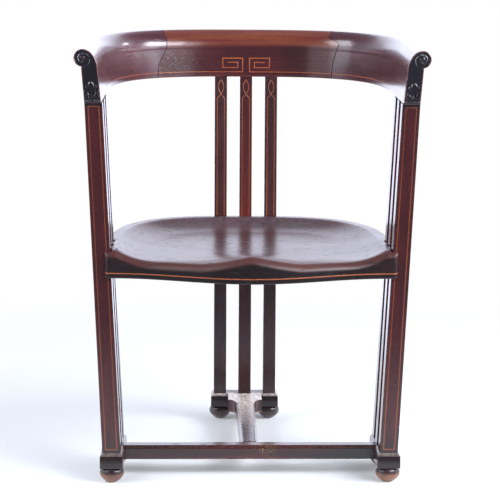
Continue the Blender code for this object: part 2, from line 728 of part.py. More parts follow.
def seat_rings():
    """Rings of the seat from its underside, up its edge and in over its dished top."""
    underside = [Vector((*p, SEAT_BASE_HEIGHT)) for p, o, f in seat_outline(SEAT_ARRIS, SEAT_ARRIS)]
    edge = seat_outline(0.0, 0.0)
    brow = seat_outline(SEAT_ARRIS, FRONT_BEVEL_RUN)
    shoulder = seat_outline(SEAT_ARRIS / 4, FRONT_BEVEL_RUN / 3)
    low = [Vector((*p, SEAT_BASE_HEIGHT + SEAT_ARRIS)) for p, o, f in edge]
    high = []
    round_over = []
    for (p, o, front), (brow_point, _, _), (shoulder_point, _, _) in zip(edge, brow, shoulder):
        drop = SEAT_ARRIS + (FRONT_BEVEL_DROP - SEAT_ARRIS) * front
        top = seat_height(brow_point)
        high.append(Vector((*p, top - drop)))
        round_over.append(Vector((*shoulder_point, top - drop / 3)))
    rings = [underside, low, high, round_over]
    insets = [(SEAT_ARRIS, FRONT_BEVEL_RUN)]
    insets += [(SEAT_RIM + DISH_WALL * wall, FRONT_BEVEL_RUN + DISH_FRONT_REACH * reach)
               for wall, reach in WALL_RINGS]
    for side_inset, front_inset in insets:
        rings.append([Vector((*p, seat_height(p))) for p, o, f in seat_outline(side_inset, front_inset)])
    floor = [Vector((p.x, p.y)) for p in rings[-1]]
    middle = (floor[0].y + max(p.y for p in floor)) / 2
    for step in range(1, FLOOR_RINGS + 1):
        share = step / FLOOR_RINGS
        ring = [Vector((p.x * (1 - share), middle + (p.y - middle) * (1 - share / 2))) for p in floor]
        rings.append([Vector((*p, seat_height(p))) for p in ring])
    return rings


def seat_shape():
    """Closed seat: the last ring has shrunk to the centre line, where its two sides are merged."""
    bm = bmesh.new()
    rows = [[bm.verts.new(point) for point in ring] for ring in seat_rings()]
    bm.faces.new(rows[0])
    for low, high in zip(rows, rows[1:]):
        for i, corner in enumerate(low):
            after = (i + 1) % len(low)
            bm.faces.new((corner, low[after], high[after], high[i]))
    bmesh.ops.remove_doubles(bm, verts=rows[-1], dist=MERGE_GAP)
    return bm


def build_seat(chair, cuts):
    """Make the seat and the string along its front edge."""
    front = [(p, o) for p, o, f in seat_outline(0.0, 0.0)[:FRONT_STEPS + 1]]
    line = [(Vector((-p.x, p.y)), Vector((-o.x, o.y))) for p, o in reversed(front[1:])] + front

    def place(along, height, depth):
        index = min(max(math.floor(along), 0), len(line) - 2)
        ends = [point - outward * depth for point, outward in line[index:index + 2]]
        return Vector((*ends[0].lerp(ends[1], along - index), height))

    route = [(index, SEAT_BASE_HEIGHT + SEAT_STRING_RAISE) for index in range(len(line))]
    seat = add("seat", seat_shape(), chair, POLISHED, True)
    combine(seat, "DIFFERENCE", cuts + inlay("seat_stringing", [route], place, chair))


def stub_heights():
    """Lowest and highest level of the cross stretcher's stub tenons, which pass under the posts' tenons."""
    return STRETCHER_BASE + STUB_SHOULDER, PLINTH_TOP - PLINTH_TENON - FIT - STUB_WEB


def stretcher_section(middle, grow, top):
    """Cross stretcher's section, (depth, height) pairs, with both upper edges chamfered."""
    half = STRETCHER_WIDTH / 2 + grow
    corner = half - STRETCHER_CHAMFER
    return [(middle - half, STRETCHER_BASE - grow), (middle + half, STRETCHER_BASE - grow),
            (middle + half, PLINTH_TOP - STRETCHER_CHAMFER), (middle + corner, top),
            (middle - corner, top), (middle - half, PLINTH_TOP - STRETCHER_CHAMFER)]


def build_cross_stretcher(chair, plinth_cuts):
    """Make the bar between the side plinths, let into them by the width of their chamfers."""
    plinth_face = SIDE_SPREAD - PLINTH_WIDTH / 2
    end = plinth_face + PLINTH_CHAMFER_RUN - FIT
    section = stretcher_section(SIDE_DEPTH, 0.0, PLINTH_TOP)
    shape = loft([[(x, y, z) for y, z in section] for x in (-end, end)])
    bar = add("cross_stretcher", shape, chair, POLISHED)
    low, high = stub_heights()
    half = STUB_WIDTH / 2
    stubs = []
    for side_name, side in (("left", -1), ("right", 1)):
        root, tip = sorted((side * (end - PROUD), side * (end + STUB_LENGTH)))
        stub = box((root, SIDE_DEPTH - half, low), (tip, SIDE_DEPTH + half, high))
        stubs.append(tool(f"stub {side_name}", stub, chair))
        grown = stretcher_section(SIDE_DEPTH, FIT, PLINTH_TOP + PROUD)
        run = sorted((side * (plinth_face - PROUD), side * (end + FIT)))
        housing = loft([[(x, y, z) for y, z in grown] for x in run])
        plinth_cuts[side_name].append(tool(f"stretcher housing {side_name}", housing, chair))
        root, tip = sorted((side * (end - PROUD), side * (end + STUB_LENGTH + FIT)))
        mortise = box((root, SIDE_DEPTH - half - FIT, low - FIT), (tip, SIDE_DEPTH + half + FIT, high + FIT))
        plinth_cuts[side_name].append(tool(f"stub mortise {side_name}", mortise, chair))
    combine(bar, "UNION", stubs)
    return bar


def stem_outline(front, head, back):
    """Plan of the stem: a slim bar that widens through two coves into its head."""
    radius = (HEAD_WIDTH - STEM_BACK_WIDTH) / 2
    right = [(STEM_FRONT_WIDTH / 2, front)]
    for step in range(COVE_STEPS + 1):
        angle = math.pi / 2 * step / COVE_STEPS
        right.append((HEAD_WIDTH / 2 - radius * math.cos(angle), head - radius + radius * math.sin(angle)))
    right.append((HEAD_WIDTH / 2, back))
    return right + [(-x, y) for x, y in reversed(right)]


def build_stem_stretcher(chair, bar, plinth_cuts):
    """Make the bar from the cross stretcher to the back plinth."""
    front = SIDE_DEPTH + STRETCHER_WIDTH / 2 + FIT
    plinth_face = BACK_DEPTH - PLINTH_WIDTH / 2
    back = plinth_face + PLINTH_CHAMFER_RUN - FIT
    outline = stem_outline(front, plinth_face - HEAD_LENGTH, back)
    bm = loft([[(x, y, z) for x, y in outline] for z in (STRETCHER_BASE, PLINTH_TOP)])
    bm.edges.ensure_lookup_table()
    arrises = [edge for edge in bm.edges
               if all(abs(v.co.z - PLINTH_TOP) < MERGE_GAP for v in edge.verts)
               and all(v.co.y < plinth_face - HEAD_LENGTH - MERGE_GAP for v in edge.verts)
               and abs(edge.verts[0].co.y - edge.verts[1].co.y) > MERGE_GAP]
    bmesh.ops.bevel(bm, geom=arrises, offset=STRETCHER_CHAMFER, segments=1, affect="EDGES")
    stem = add("stem_stretcher", bm, chair, POLISHED)
    half = STEM_FRONT_WIDTH / 2 - STEM_SHOULDER
    low = STRETCHER_BASE + STEM_SHOULDER
    high = PLINTH_TOP - STEM_SHOULDER
    tenon = tool("stem tenon", box((-half, front - STEM_TENON, low), (half, front + PROUD, high)), chair)
    combine(stem, "UNION", [tenon])
    mortise = tool("stem mortise", box((-half - FIT, front - STEM_TENON - FIT, low - FIT),
                                       (half + FIT, front + PROUD, high + FIT)), chair)
    combine(bar, "DIFFERENCE", [mortise])
    housing = box((-HEAD_WIDTH / 2 - FIT, plinth_face - PROUD, STRETCHER_BASE - FIT),
                  (HEAD_WIDTH / 2 + FIT, back + FIT, PLINTH_TOP + PROUD))
    plinth_cuts["back"].append(tool("stem housing", housing, chair))


def build_chair():
    """Build the chair with its origin on the floor, under the middle of its outline."""
    chair = empty("tub armchair", None, Matrix.Translation((0, -(CHAIR_FRONT + CHAIR_BACK) / 2, 0)))
    plinths = {}
    plinth_cuts = {}
    rail_cuts = {}
    seat_cuts = []
    for group in GROUPS:
        plinth, plinth_cuts[group.name], notches, rail_cuts[group.name] = build_group(group, chair)
        plinths[group.name] = plinth
        seat_cuts += notches
    bar = build_cross_stretcher(chair, plinth_cuts)
    build_stem_stretcher(chair, bar, plinth_cuts)
    for name, plinth in plinths.items():
        combine(plinth, "DIFFERENCE", plinth_cuts[name])
    build_seat(chair, seat_cuts)
    build_rail(chair, rail_cuts)


build_chair()
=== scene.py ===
"""Looks of an inlaid tub armchair: French-polished mahogany, strung inlay and carved scroll ends.

Each surface is a grid of points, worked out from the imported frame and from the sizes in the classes.
Lengths are in metres unless a name ends in _mm. Depth runs back from the front legs' faces.
"""

import logging
import math
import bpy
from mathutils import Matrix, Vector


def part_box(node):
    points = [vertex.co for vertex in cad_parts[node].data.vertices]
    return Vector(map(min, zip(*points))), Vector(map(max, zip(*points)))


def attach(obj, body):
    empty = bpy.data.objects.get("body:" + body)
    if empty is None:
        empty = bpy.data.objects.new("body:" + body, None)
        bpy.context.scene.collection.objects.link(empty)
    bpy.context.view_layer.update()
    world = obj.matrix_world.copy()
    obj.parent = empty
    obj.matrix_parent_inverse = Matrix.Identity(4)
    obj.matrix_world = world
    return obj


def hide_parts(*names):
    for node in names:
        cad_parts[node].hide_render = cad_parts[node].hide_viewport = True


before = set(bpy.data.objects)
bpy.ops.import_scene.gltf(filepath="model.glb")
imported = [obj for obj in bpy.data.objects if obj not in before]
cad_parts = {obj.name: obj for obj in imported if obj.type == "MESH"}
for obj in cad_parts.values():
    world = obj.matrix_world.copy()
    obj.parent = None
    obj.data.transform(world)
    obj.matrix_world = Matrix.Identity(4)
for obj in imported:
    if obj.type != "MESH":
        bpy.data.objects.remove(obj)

import zlib
from collections.abc import Callable, Sequence
from dataclasses import dataclass, field, replace
from enum import Enum

import bmesh
import bpy
import numpy as np
from mathutils import Matrix

log = logging.getLogger("tub_armchair")

Pair = tuple[float, float]

BODY = "root"
# The marks carry real wear, soil, fading and dust, and also painted shade, a painted lit band, painted
# highlights and a painted sheen.
MARKS = ("wear", "soil", "dust", "faded", "fleck")
SEAT_THICKNESS = 0.048
MERGE_GAP = 2e-6
SHARP_ANGLE = math.radians(32.0)
BOARD_SHIFT = 3.0
MM_IN_METRE = 1000
QUARTER = math.pi / 2
TINY = 1e-6
ARRIS_POINTS = 6
# Sockets of the mix node by number, since colours and plain numbers have the same names there.
MIX_A = 6
MIX_B = 7
MIX_RESULT = 2
MIX_NUMBER_A = 2
MIX_NUMBER_B = 3
# Inputs of the ramp node, in the order that its values are given in.
RAMP = ("Value", "From Min", "From Max", "To Min", "To Max")
WHITE = (1.0, 1.0, 1.0, 1.0)


def smooth(values: np.ndarray, low: float, high: float) -> np.ndarray:
    """Ease values from 0 at low to 1 at high: 3t squared less 2t cubed.

    Args:
        values: What is eased.
        low: Where the ramp starts.
        high: Where the ramp ends, on either side of low.

    Returns:
        The eased values, from 0 to 1.
    """
    share = np.clip((values - low) / (high - low), 0.0, 1.0)
    return share * share * (3.0 - 2.0 * share)


def linear(srgb: str) -> tuple[float, ...]:
    """Turn an sRGB hex colour into linear red, green, blue and alpha.

    Args:
        srgb: Six hex digits.

    Returns:
        Four numbers from 0 to 1.
    """
    channels = np.array([int(srgb[i:i + 2], 16) / 255 for i in (0, 2, 4)])
    curved = ((channels + 0.055) / 1.055) ** 2.4
    return (*np.where(channels <= 0.04045, channels / 12.92, curved).tolist(), 1.0)


def unit(vectors: np.ndarray) -> np.ndarray:
    """Give each row's vector a length of one."""
    return vectors / np.linalg.norm(vectors, axis=1, keepdims=True)


def run_along(line: np.ndarray) -> np.ndarray:
    """Add up the distance along a line of points, from 0 at the first."""
    return np.concatenate([[0.0], np.cumsum(np.linalg.norm(np.diff(line, axis=0), axis=1))])


def add_object(name: str, data: bpy.types.ID) -> bpy.types.Object:
    """Put a mesh, a light or a camera in the scene.

    Args:
        name: The object's name.
        data: What it shows.

    Returns:
        The object.
    """
    made = bpy.data.objects.new(name, data)
    bpy.context.scene.collection.objects.link(made)
    return made


def add_node(tree: bpy.types.NodeTree, kind: str, inputs: dict | None = None, output: int | str = 0,
             **settings: object) -> bpy.types.NodeSocket:
    """Add a node with its settings, its values and its links.

    Args:
        tree: Tree that gets the node.
        kind: Blender's name for the node's type.
        inputs: A value, or a socket to link, for each input by name or number.
        output: Name or number of the output that is wanted.
        settings: The node's own properties.

    Returns:
        That output of the new node.
    """
    made = tree.nodes.new(kind)
    for key, value in settings.items():
        setattr(made, key, value)
    for key, value in (inputs or {}).items():
        if isinstance(value, bpy.types.NodeSocket):
            tree.links.new(value, made.inputs[key])
        else:
            made.inputs[key].default_value = value
    return made.outputs[output]


class Grain(Enum):
    """Way that the fibres run in a straight piece, as the order of the axes along and across them."""

    ALONG_X = (0, 1, 2)
    ALONG_Y = (1, 0, 2)
    ALONG_Z = (2, 0, 1)


@dataclass(frozen=True)
class PolishedWood:
    """Wood, planed, stained and polished: a streaked ground with long pores under a clear gloss.

    The figure is broad streaks along the fibres, the pores are short dark dashes, drawn coarser than real
    ones so that they show, and the polish is slightly uneven, so that reflections break up. Arrises wear
    through to paler wood.
    """

    name: str
    slot: str
    dark: str
    light: str
    worn: str = "8A5440"
    faded: str = "8A4A30"
    dust: str = "B5A596"
    soil: str = "120D0E"
    fleck: str = "C09A58"
    roughness: float = 0.20
    haze: float = 0.10
    worn_haze: float = 0.18
    dusty_haze: float = 0.5
    dented_haze: float = 0.3
    faded_haze: float = 0.0
    figure_mm: Pair = (160.0, 7.0)
    pore_mm: Pair = (9.0, 0.9)
    pores: float = 0.45
    dent_mm: Pair = (20.0, 4.0)
    dents: float = 0.0
    fleck_mm: float = 1.5
    cloud_mm: float = 55.0
    polish_mm: float = 6.0
    rub_mm: float = 5.0
    coat: float = 0.3
    coat_roughness: float = 0.15
    pore_depth_mm: float = 0.05
    polish_depth_mm: float = 0.02
    ior: float = 1.50

    def noises(self, tree: bpy.types.NodeTree) -> dict[str, bpy.types.NodeSocket]:
        """Add the noises that are stretched along the fibres.

        Args:
            tree: The material's nodes.

        Returns:
            Noise from 0 to 1, by what it draws.
        """
        fibres = add_node(tree, "ShaderNodeAttribute", output="Vector", attribute_name="grain")
        made = {}
        for name, along_mm, across_mm, detail in (
                ("figure", *self.figure_mm, 3.0), ("clouds", 2 * self.cloud_mm, self.cloud_mm, 2.0),
                ("pores", *self.pore_mm, 1.0), ("polish", self.polish_mm, self.polish_mm, 2.0),
                ("rubbing", 2 * self.rub_mm, self.rub_mm, 3.0), ("dents", *self.dent_mm, 0.0),
                ("flecks", self.fleck_mm, self.fleck_mm, 0.0)):
            along, across = MM_IN_METRE / along_mm, MM_IN_METRE / across_mm
            drawn = add_node(tree, "ShaderNodeMapping", {"Vector": fibres, "Scale": (along, across, across)})
            settings = {"Vector": drawn, "Scale": 1.0, "Detail": detail}
            made[name] = add_node(tree, "ShaderNodeTexNoise", settings, "Fac")
        return made

    def material(self) -> bpy.types.Material:
        """Make the finish once: colours laid over each other by their shares, then the gloss and the relief.

        A mask is a ramp between two levels of a noise, and a share is the product of masks and marks.

        Returns:
            The material, shared by every piece with this finish.
        """
        made = bpy.data.materials.get(self.name)
        if made:
            return made
        made = bpy.data.materials.new(self.name)
        made.use_nodes = True
        tree = made.node_tree
        noises = self.noises(tree)
        marks = {name: add_node(tree, "ShaderNodeAttribute", output="Fac", attribute_name=name)
                 for name in MARKS}
        facing = add_node(tree, "ShaderNodeNewGeometry", output="Normal")
        upright = add_node(tree, "ShaderNodeSeparateXYZ", {0: facing}, output="Z")
        masks = {name: add_node(tree, "ShaderNodeMapRange", dict(zip(RAMP, values)))
                 for name, *values in (
                     ("streaks", noises["figure"], 0.30, 0.70), ("patches", noises["clouds"], 0.30, 0.70),
                     ("bleaching", noises["figure"], 0.25, 0.60), ("pores", noises["pores"], 0.56, 0.72),
                     ("rubbing", noises["rubbing"], 0.38, 0.62), ("dents", noises["dents"], 0.745, 0.775),
                     ("flecks", noises["flecks"], 0.65, 0.70), ("settling", noises["polish"], 0.20, 0.60),
                     ("upward", upright, 0.30, 0.90))}
        shares = {}
        for name, share, *factors in (
                ("tone", masks["streaks"], masks["patches"]), ("pores", masks["pores"], self.pores),
                ("dents", masks["dents"], self.dents), ("fleck", marks["fleck"], masks["flecks"]),
                ("wear", marks["wear"], masks["rubbing"]),
                ("dust", marks["dust"], masks["upward"], masks["settling"])):
            for factor in factors:
                share = add_node(tree, "ShaderNodeMath", {0: share, 1: factor}, operation="MULTIPLY")
            shares[name] = share
        colour, light, soil = linear(self.dark), linear(self.light), linear(self.soil)
        layers = {0: masks["bleaching"], MIX_A: light, MIX_B: linear(self.faded)}
        bleached = add_node(tree, "ShaderNodeMix", layers, MIX_RESULT, data_type="RGBA")
        # The soil layer also paints shade, the wear layer highlights on the carving, the faded layer a lit
        # band on the back posts, and the dust layer a sheen in the seat's hollow.
        for share, over in (
                (shares["tone"], light), (marks["faded"], bleached), (shares["pores"], soil),
                (shares["dents"], soil), (shares["fleck"], linear(self.fleck)),
                (shares["wear"], linear(self.worn)), (marks["soil"], soil),
                (shares["dust"], linear(self.dust))):
            layers = {0: share, MIX_A: colour, MIX_B: over}
            colour = add_node(tree, "ShaderNodeMix", layers, MIX_RESULT, data_type="RGBA")
        gloss, relief = self.roughness - self.haze / 2, 0.0
        for share, weight in (
                (noises["clouds"], self.haze), (shares["wear"], self.worn_haze),
                (shares["dust"], self.dusty_haze), (shares["dents"], self.dented_haze),
                (marks["faded"], self.faded_haze)):
            terms = {0: share, 1: weight, 2: gloss}
            gloss = add_node(tree, "ShaderNodeMath", terms, operation="MULTIPLY_ADD")
        depths_mm = (noises["polish"], self.polish_depth_mm), (masks["pores"], -self.pore_depth_mm)
        for share, depth_mm in depths_mm:
            terms = {0: share, 1: depth_mm, 2: relief}
            relief = add_node(tree, "ShaderNodeMath", terms, operation="MULTIPLY_ADD")
        settings = {"Height": relief, "Distance": 1 / MM_IN_METRE, "Strength": 1.0}
        bump = add_node(tree, "ShaderNodeBump", settings)
        sockets = tree.nodes["Principled BSDF"].inputs
        for name, value in (("Base Color", colour), ("Roughness", gloss), ("Normal", bump)):
            tree.links.new(value, sockets[name])
        for name, value in (("IOR", self.ior), ("Coat Weight", self.coat), ("Coat IOR", self.ior),
                            ("Coat Roughness", self.coat_roughness)):
            sockets[name].default_value = value
        return made


# Dark red-brown with soft streaks, deep under a clear gloss; its faded colour paints the lit band on the
# centre back post.
POLISHED = PolishedWood("mahogany_french_polished", "polished_mahogany", "371114", "4B1B1B", faded="6E2C26",
                        roughness=0.22)
# The same wood, greyer and softer where its polish has dulled.
DULLED = PolishedWood("mahogany_french_polished_dulled", "polished_mahogany", "42201F", "5C3432",
                      roughness=0.24)
# Red-brown that has faded to a warmer brown on top, with the clearest reflections.
RAIL_WOOD = PolishedWood("mahogany_french_polished_rail", "polished_mahogany", "3A1418", "562222",
                         faded="683626")
# Plum brown under a second, glassier coat.
ARM_WOOD = PolishedWood("mahogany_french_polished_arm", "dark_mahogany", "3E2027", "5A3035", roughness=0.23,
                        haze=0.12, coat=0.4, coat_roughness=0.14)
# Blue-black, rubbed to grey on the edges of the carving; the grey also paints the highlights that the
# scroll's fillet and the leaves' veins catch.
EBONISED = PolishedWood("mahogany_ebonised_carved", "dark_mahogany", "0D0C13", "16141E", worn="ACA0A2",
                        faded="4A2024", roughness=0.26)
# Brown with small dark dents and a broad, hazy sheen; its grey-blue dust is also a painted sheen on the back
# of the hollow.
SEAT_WOOD = PolishedWood("mahogany_french_polished_seat", "polished_mahogany", "3A1E20", "552C28",
                         faded="42221C", dust="84848C", roughness=0.28, haze=0.12, faded_haze=0.22,
                         pore_mm=(14.0, 1.6), pore_depth_mm=0.02, polish_depth_mm=0.015, dents=0.85,
                         dent_mm=(24.0, 5.0), coat=0.0)
# Near-black red under pale dust, with honey-coloured rubbed arrises.
BASE_WOOD = PolishedWood("mahogany_french_polished_base", "polished_mahogany", "2C0E10", "561C1A",
                         dust="E0D4CA", worn="A8744A", roughness=0.24)
# Dark brown above, worn to tan below the bulge.
FOOT_WOOD = PolishedWood("mahogany_turned_worn", "worn_mahogany", "2A2123", "3A2A28", faded="905E40",
                         roughness=0.24, coat=0.2, faded_haze=0.15, figure_mm=(70.0, 28.0))
# Bright orange lines, nearly plain.
STRING_WOOD = PolishedWood("orange_stringing_inlaid", "stringing", "8E4522", "B86A34", roughness=0.24,
                           pore_mm=(6.0, 0.5))
# The same lines, browner with age.
BACK_STRING_WOOD = replace(STRING_WOOD, name="orange_stringing_mellowed", dark="8A4A30", light="B06842")
# The same lines, darkened by old polish.
LEG_STRING_WOOD = replace(STRING_WOOD, name="orange_stringing_darkened", dark="6C321A", light="96522A")
# Black wax, matt in the gaps round the plugs.
FILLER = PolishedWood("wax_filler_darkened", "dark_mahogany", "0A0808", "120E0E", roughness=0.75, coat=0.0)
# Pale and plain, without polish.
BEECH = PolishedWood("beech_turned_plain", "beech", "A87C4E", "C09868", roughness=0.60, coat=0.0)


@dataclass(frozen=True)
class DrawnSteel:
    """Steel wire, drawn and turned: grey metal, finely uneven, so that its highlight breaks up."""

    name: str = "steel_drawn"
    colour: str = "7C7C80"
    roughness: float = 0.40
    unevenness: float = 0.1
    uneven_mm: float = 0.5

    def material(self) -> bpy.types.Material:
        """Make the finish.

        Returns:
            The material of the screws.
        """
        made = bpy.data.materials.new(self.name)
        made.use_nodes = True
        tree = made.node_tree
        sockets = tree.nodes["Principled BSDF"].inputs
        place = add_node(tree, "ShaderNodeTexCoord", output="Object")
        settings = {"Vector": place, "Scale": MM_IN_METRE / self.uneven_mm}
        noise = add_node(tree, "ShaderNodeTexNoise", settings, "Fac")
        ramp = (noise, 0.0, 1.0, self.roughness - self.unevenness, self.roughness + self.unevenness)
        gloss = add_node(tree, "ShaderNodeMapRange", dict(zip(RAMP, ramp)))
        tree.links.new(gloss, sockets["Roughness"])
        sockets["Base Color"].default_value = linear(self.colour)
        sockets["Metallic"].default_value = 1.0
        return made


@dataclass
class Skin:
    """A grid of points in rows, with the marks that its finish shows at each of them."""

    points: np.ndarray
    wrap: bool = True
    caps: bool = True
    marks: dict[str, np.ndarray | float] = field(default_factory=dict)
    fibres: np.ndarray | None = None

    def faces(self, start: int = 0) -> list[list[int]]:
        """Join each point to the next in its row and in the row after, and close the ends with fans.

        Args:
            start: Number of the grid's first point.

        Returns:
            Corners of each face; a fan's middle comes after the grid's points.
        """
        rows, columns = self.points.shape[:2]
        end = start + rows * columns
        index = np.arange(start, end).reshape(rows, columns)
        if self.wrap:
            index = np.concatenate([index, index[:, :1]], axis=1)
        quads = np.stack([index[:-1, :-1], index[:-1, 1:], index[1:, 1:], index[1:, :-1]], axis=-1)
        made = quads.reshape(-1, 4).tolist()
        if self.caps:
            for middle, ring in enumerate((index[0, ::-1], index[-1]), end):
                fan = np.broadcast_arrays(ring[:-1], ring[1:], middle)
                made += np.stack(fan, axis=-1).tolist()
        return made

    def spread(self, values: np.ndarray) -> np.ndarray:
        """Give a value to each point, and their mean to each fan's middle.

        Args:
            values: One value, or one vector, for each point of the grid.

        Returns:
            The values in the order of the points.
        """
        flat = values.reshape(-1, *values.shape[2:])
        if not self.caps:
            return flat
        return np.concatenate([flat, values[0].mean(axis=0)[None], values[-1].mean(axis=0)[None]])


def close_up(mesh: bpy.types.Mesh) -> None:
    """Merge the points that meet, and turn every face outwards.

    Args:
        mesh: Mesh that is changed.
    """
    shape = bmesh.new()
    shape.from_mesh(mesh)
    bmesh.ops.remove_doubles(shape, verts=shape.verts, dist=MERGE_GAP)
    bmesh.ops.recalc_face_normals(shape, faces=shape.faces)
    shape.to_mesh(mesh)
    shape.free()
    mesh.shade_smooth()
    mesh.set_sharp_from_angle(angle=SHARP_ANGLE)


def set_marks(mesh: bpy.types.Mesh, marks: dict[str, np.ndarray], fibres: np.ndarray) -> None:
    """Write a piece's marks and its place along and across the fibres.

    Args:
        mesh: Mesh that gets the attributes.
        marks: A number for each point, by the mark's name.
        fibres: Each point's place along and across the fibres.
    """
    for name in MARKS:
        values = marks.get(name, np.zeros(len(fibres)))
        layer = mesh.attributes.get(name) or mesh.attributes.new(name, "FLOAT", "POINT")
        layer.data.foreach_set("value", values.astype(np.float32))
    drawn = mesh.attributes.get("grain") or mesh.attributes.new("grain", "FLOAT_VECTOR", "POINT")
    drawn.data.foreach_set("vector", fibres.astype(np.float32).ravel())


def fibres_of(name: str, points: np.ndarray) -> np.ndarray:
    """Shift a piece's fibres by an amount that follows from its name, so that no two boards match.

    Args:
        name: The piece's name.
        points: Place along and across the fibres.

    Returns:
        The shifted places.
    """
    return points + np.random.default_rng(zlib.crc32(name.encode())).uniform(0.0, BOARD_SHIFT, 3)


def mesh_of(name: str, skins: Sequence[Skin], grain: Grain = Grain.ALONG_Z) -> bpy.types.Mesh:
    """Join skins into one closed mesh with its marks.

    Args:
        name: The mesh's name.
        skins: Grids that meet at their edges.
        grain: Way of the fibres where a skin has none of its own.

    Returns:
        The mesh.
    """
    points, faces, fibres = [], [], []
    marks: dict[str, list[np.ndarray]] = {mark: [] for mark in MARKS}
    start = 0
    for skin in skins:
        faces += skin.faces(start)
        points.append(skin.spread(skin.points))
        own = skin.points[..., list(grain.value)] if skin.fibres is None else skin.fibres
        fibres.append(skin.spread(own))
        for mark in MARKS:
            values = np.broadcast_to(skin.marks.get(mark, 0.0), skin.points.shape[:2])
            marks[mark].append(skin.spread(values))
        start += len(points[-1])
    mesh = bpy.data.meshes.new(name)
    mesh.from_pydata(np.concatenate(points).tolist(), [], faces)
    set_marks(mesh, {mark: np.concatenate(values) for mark, values in marks.items()},
              fibres_of(name, np.concatenate(fibres)))
    close_up(mesh)
    return mesh


def dress(name: str, mesh: bpy.types.Mesh, finish: PolishedWood, *nodes: str) -> None:
    """Put a mesh in the scene as a piece that rides on the chair and stands for nodes of the frame.

    Args:
        name: The piece's name.
        mesh: Its shape, in place.
        finish: What it is made of.
        nodes: Nodes that it stands for.
    """
    piece = add_object(name, mesh)
    mesh.materials.append(finish.material())
    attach(piece, BODY)
    if nodes:
        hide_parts(*nodes)
    log.info("%s: %d faces, stands for %s", name, len(mesh.polygons), ", ".join(nodes) or "no node")


def dress_skins(name: str, skins: Sequence[Skin], finish: PolishedWood, *nodes: str,
                grain: Grain = Grain.ALONG_Z) -> None:
    """Join skins into a mesh and dress it.

    Args:
        name: The piece's name.
        skins: Grids that meet at their edges.
        finish: What the piece is made of.
        nodes: Nodes that it stands for.
        grain: Way of the fibres where a skin has none of its own.
    """
    dress(name, mesh_of(name, skins, grain), finish, *nodes)


@dataclass(frozen=True)
class Levels:
    """Heights, depths and spreads that several pieces share, read from the frame."""

    front: float
    plinth_base: float
    plinth_top: float
    plinth_width: float
    plinth_length: float
    seat_base: float
    seat_rim: float
    seat_half_width: float
    seat_front: float
    seat_depth: float
    rail_front: float
    rail_top: float
    rail_reach: float
    rail_back: float
    side_spread: float
    side_depth: float
    back_depth: float
    post_pitch: float

    @classmethod
    def read(cls) -> "Levels":
        """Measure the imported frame.

        Returns:
            The levels.
        """
        plinth_low, plinth_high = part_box("plinth_right")
        back_low, back_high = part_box("plinth_back")
        seat_low, seat_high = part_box("seat")
        arm_low, arm_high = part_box("arm_rail_right")
        crest_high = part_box("crest_rail")[1]
        leg_low, leg_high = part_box("front_leg_right")
        post_low, post_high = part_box("middle_post_right")
        return cls(
            front=leg_low.y, plinth_base=plinth_low.z, plinth_top=plinth_high.z,
            plinth_width=plinth_high.x - plinth_low.x, plinth_length=plinth_high.y - plinth_low.y,
            seat_base=seat_low.z, seat_rim=seat_low.z + SEAT_THICKNESS, seat_half_width=seat_high.x,
            seat_front=seat_low.y, seat_depth=seat_high.y - leg_low.y,
            rail_front=arm_low.z, rail_top=crest_high.z, rail_reach=arm_high.x, rail_back=crest_high.y,
            side_spread=(plinth_low.x + plinth_high.x) / 2, side_depth=(plinth_low.y + plinth_high.y) / 2,
            back_depth=(back_low.y + back_high.y) / 2,
            post_pitch=(post_low.y + post_high.y - leg_low.y - leg_high.y) / 2)


class Stand(Enum):
    """The three stands of posts, each by the quarter turns that face it outwards."""

    RIGHT = 0
    BACK = 1
    LEFT = 2

    def place(self, levels: Levels, points: np.ndarray) -> np.ndarray:
        """Turn points from the stand's own frame, x outwards and y along the plinth, and set them down.

        Args:
            levels: The chair's levels.
            points: Points in the stand's frame.

        Returns:
            Points in the chair's frame.
        """
        centre = {Stand.RIGHT: (levels.side_spread, levels.side_depth), Stand.BACK: (0.0, levels.back_depth),
                  Stand.LEFT: (-levels.side_spread, levels.side_depth)}[self]
        cosine, sine = round(math.cos(QUARTER * self.value)), round(math.sin(QUARTER * self.value))
        x, y, z = np.moveaxis(points, -1, 0)
        return np.stack([centre[0] + x * cosine - y * sine, centre[1] + x * sine + y * cosine, z], axis=-1)

    def posts(self) -> tuple[str, ...]:
        """Name the stand's posts along its plinth.

        Returns:
            Three names of nodes.
        """
        if self is Stand.BACK:
            return "back_post_right", "back_post_center", "back_post_left"
        names = tuple(f"{kind}_{self.name.lower()}" for kind in ("front_leg", "middle_post", "rear_post"))
        return names if self is Stand.RIGHT else names[::-1]

    def feet(self) -> tuple[str, ...]:
        """Name the stand's feet along its plinth."""
        ends = {Stand.RIGHT: ("front", "rear"), Stand.LEFT: ("rear", "front"), Stand.BACK: ("right", "left")}
        return tuple(f"foot_{self.name.lower()}_{end}" for end in ends[self])


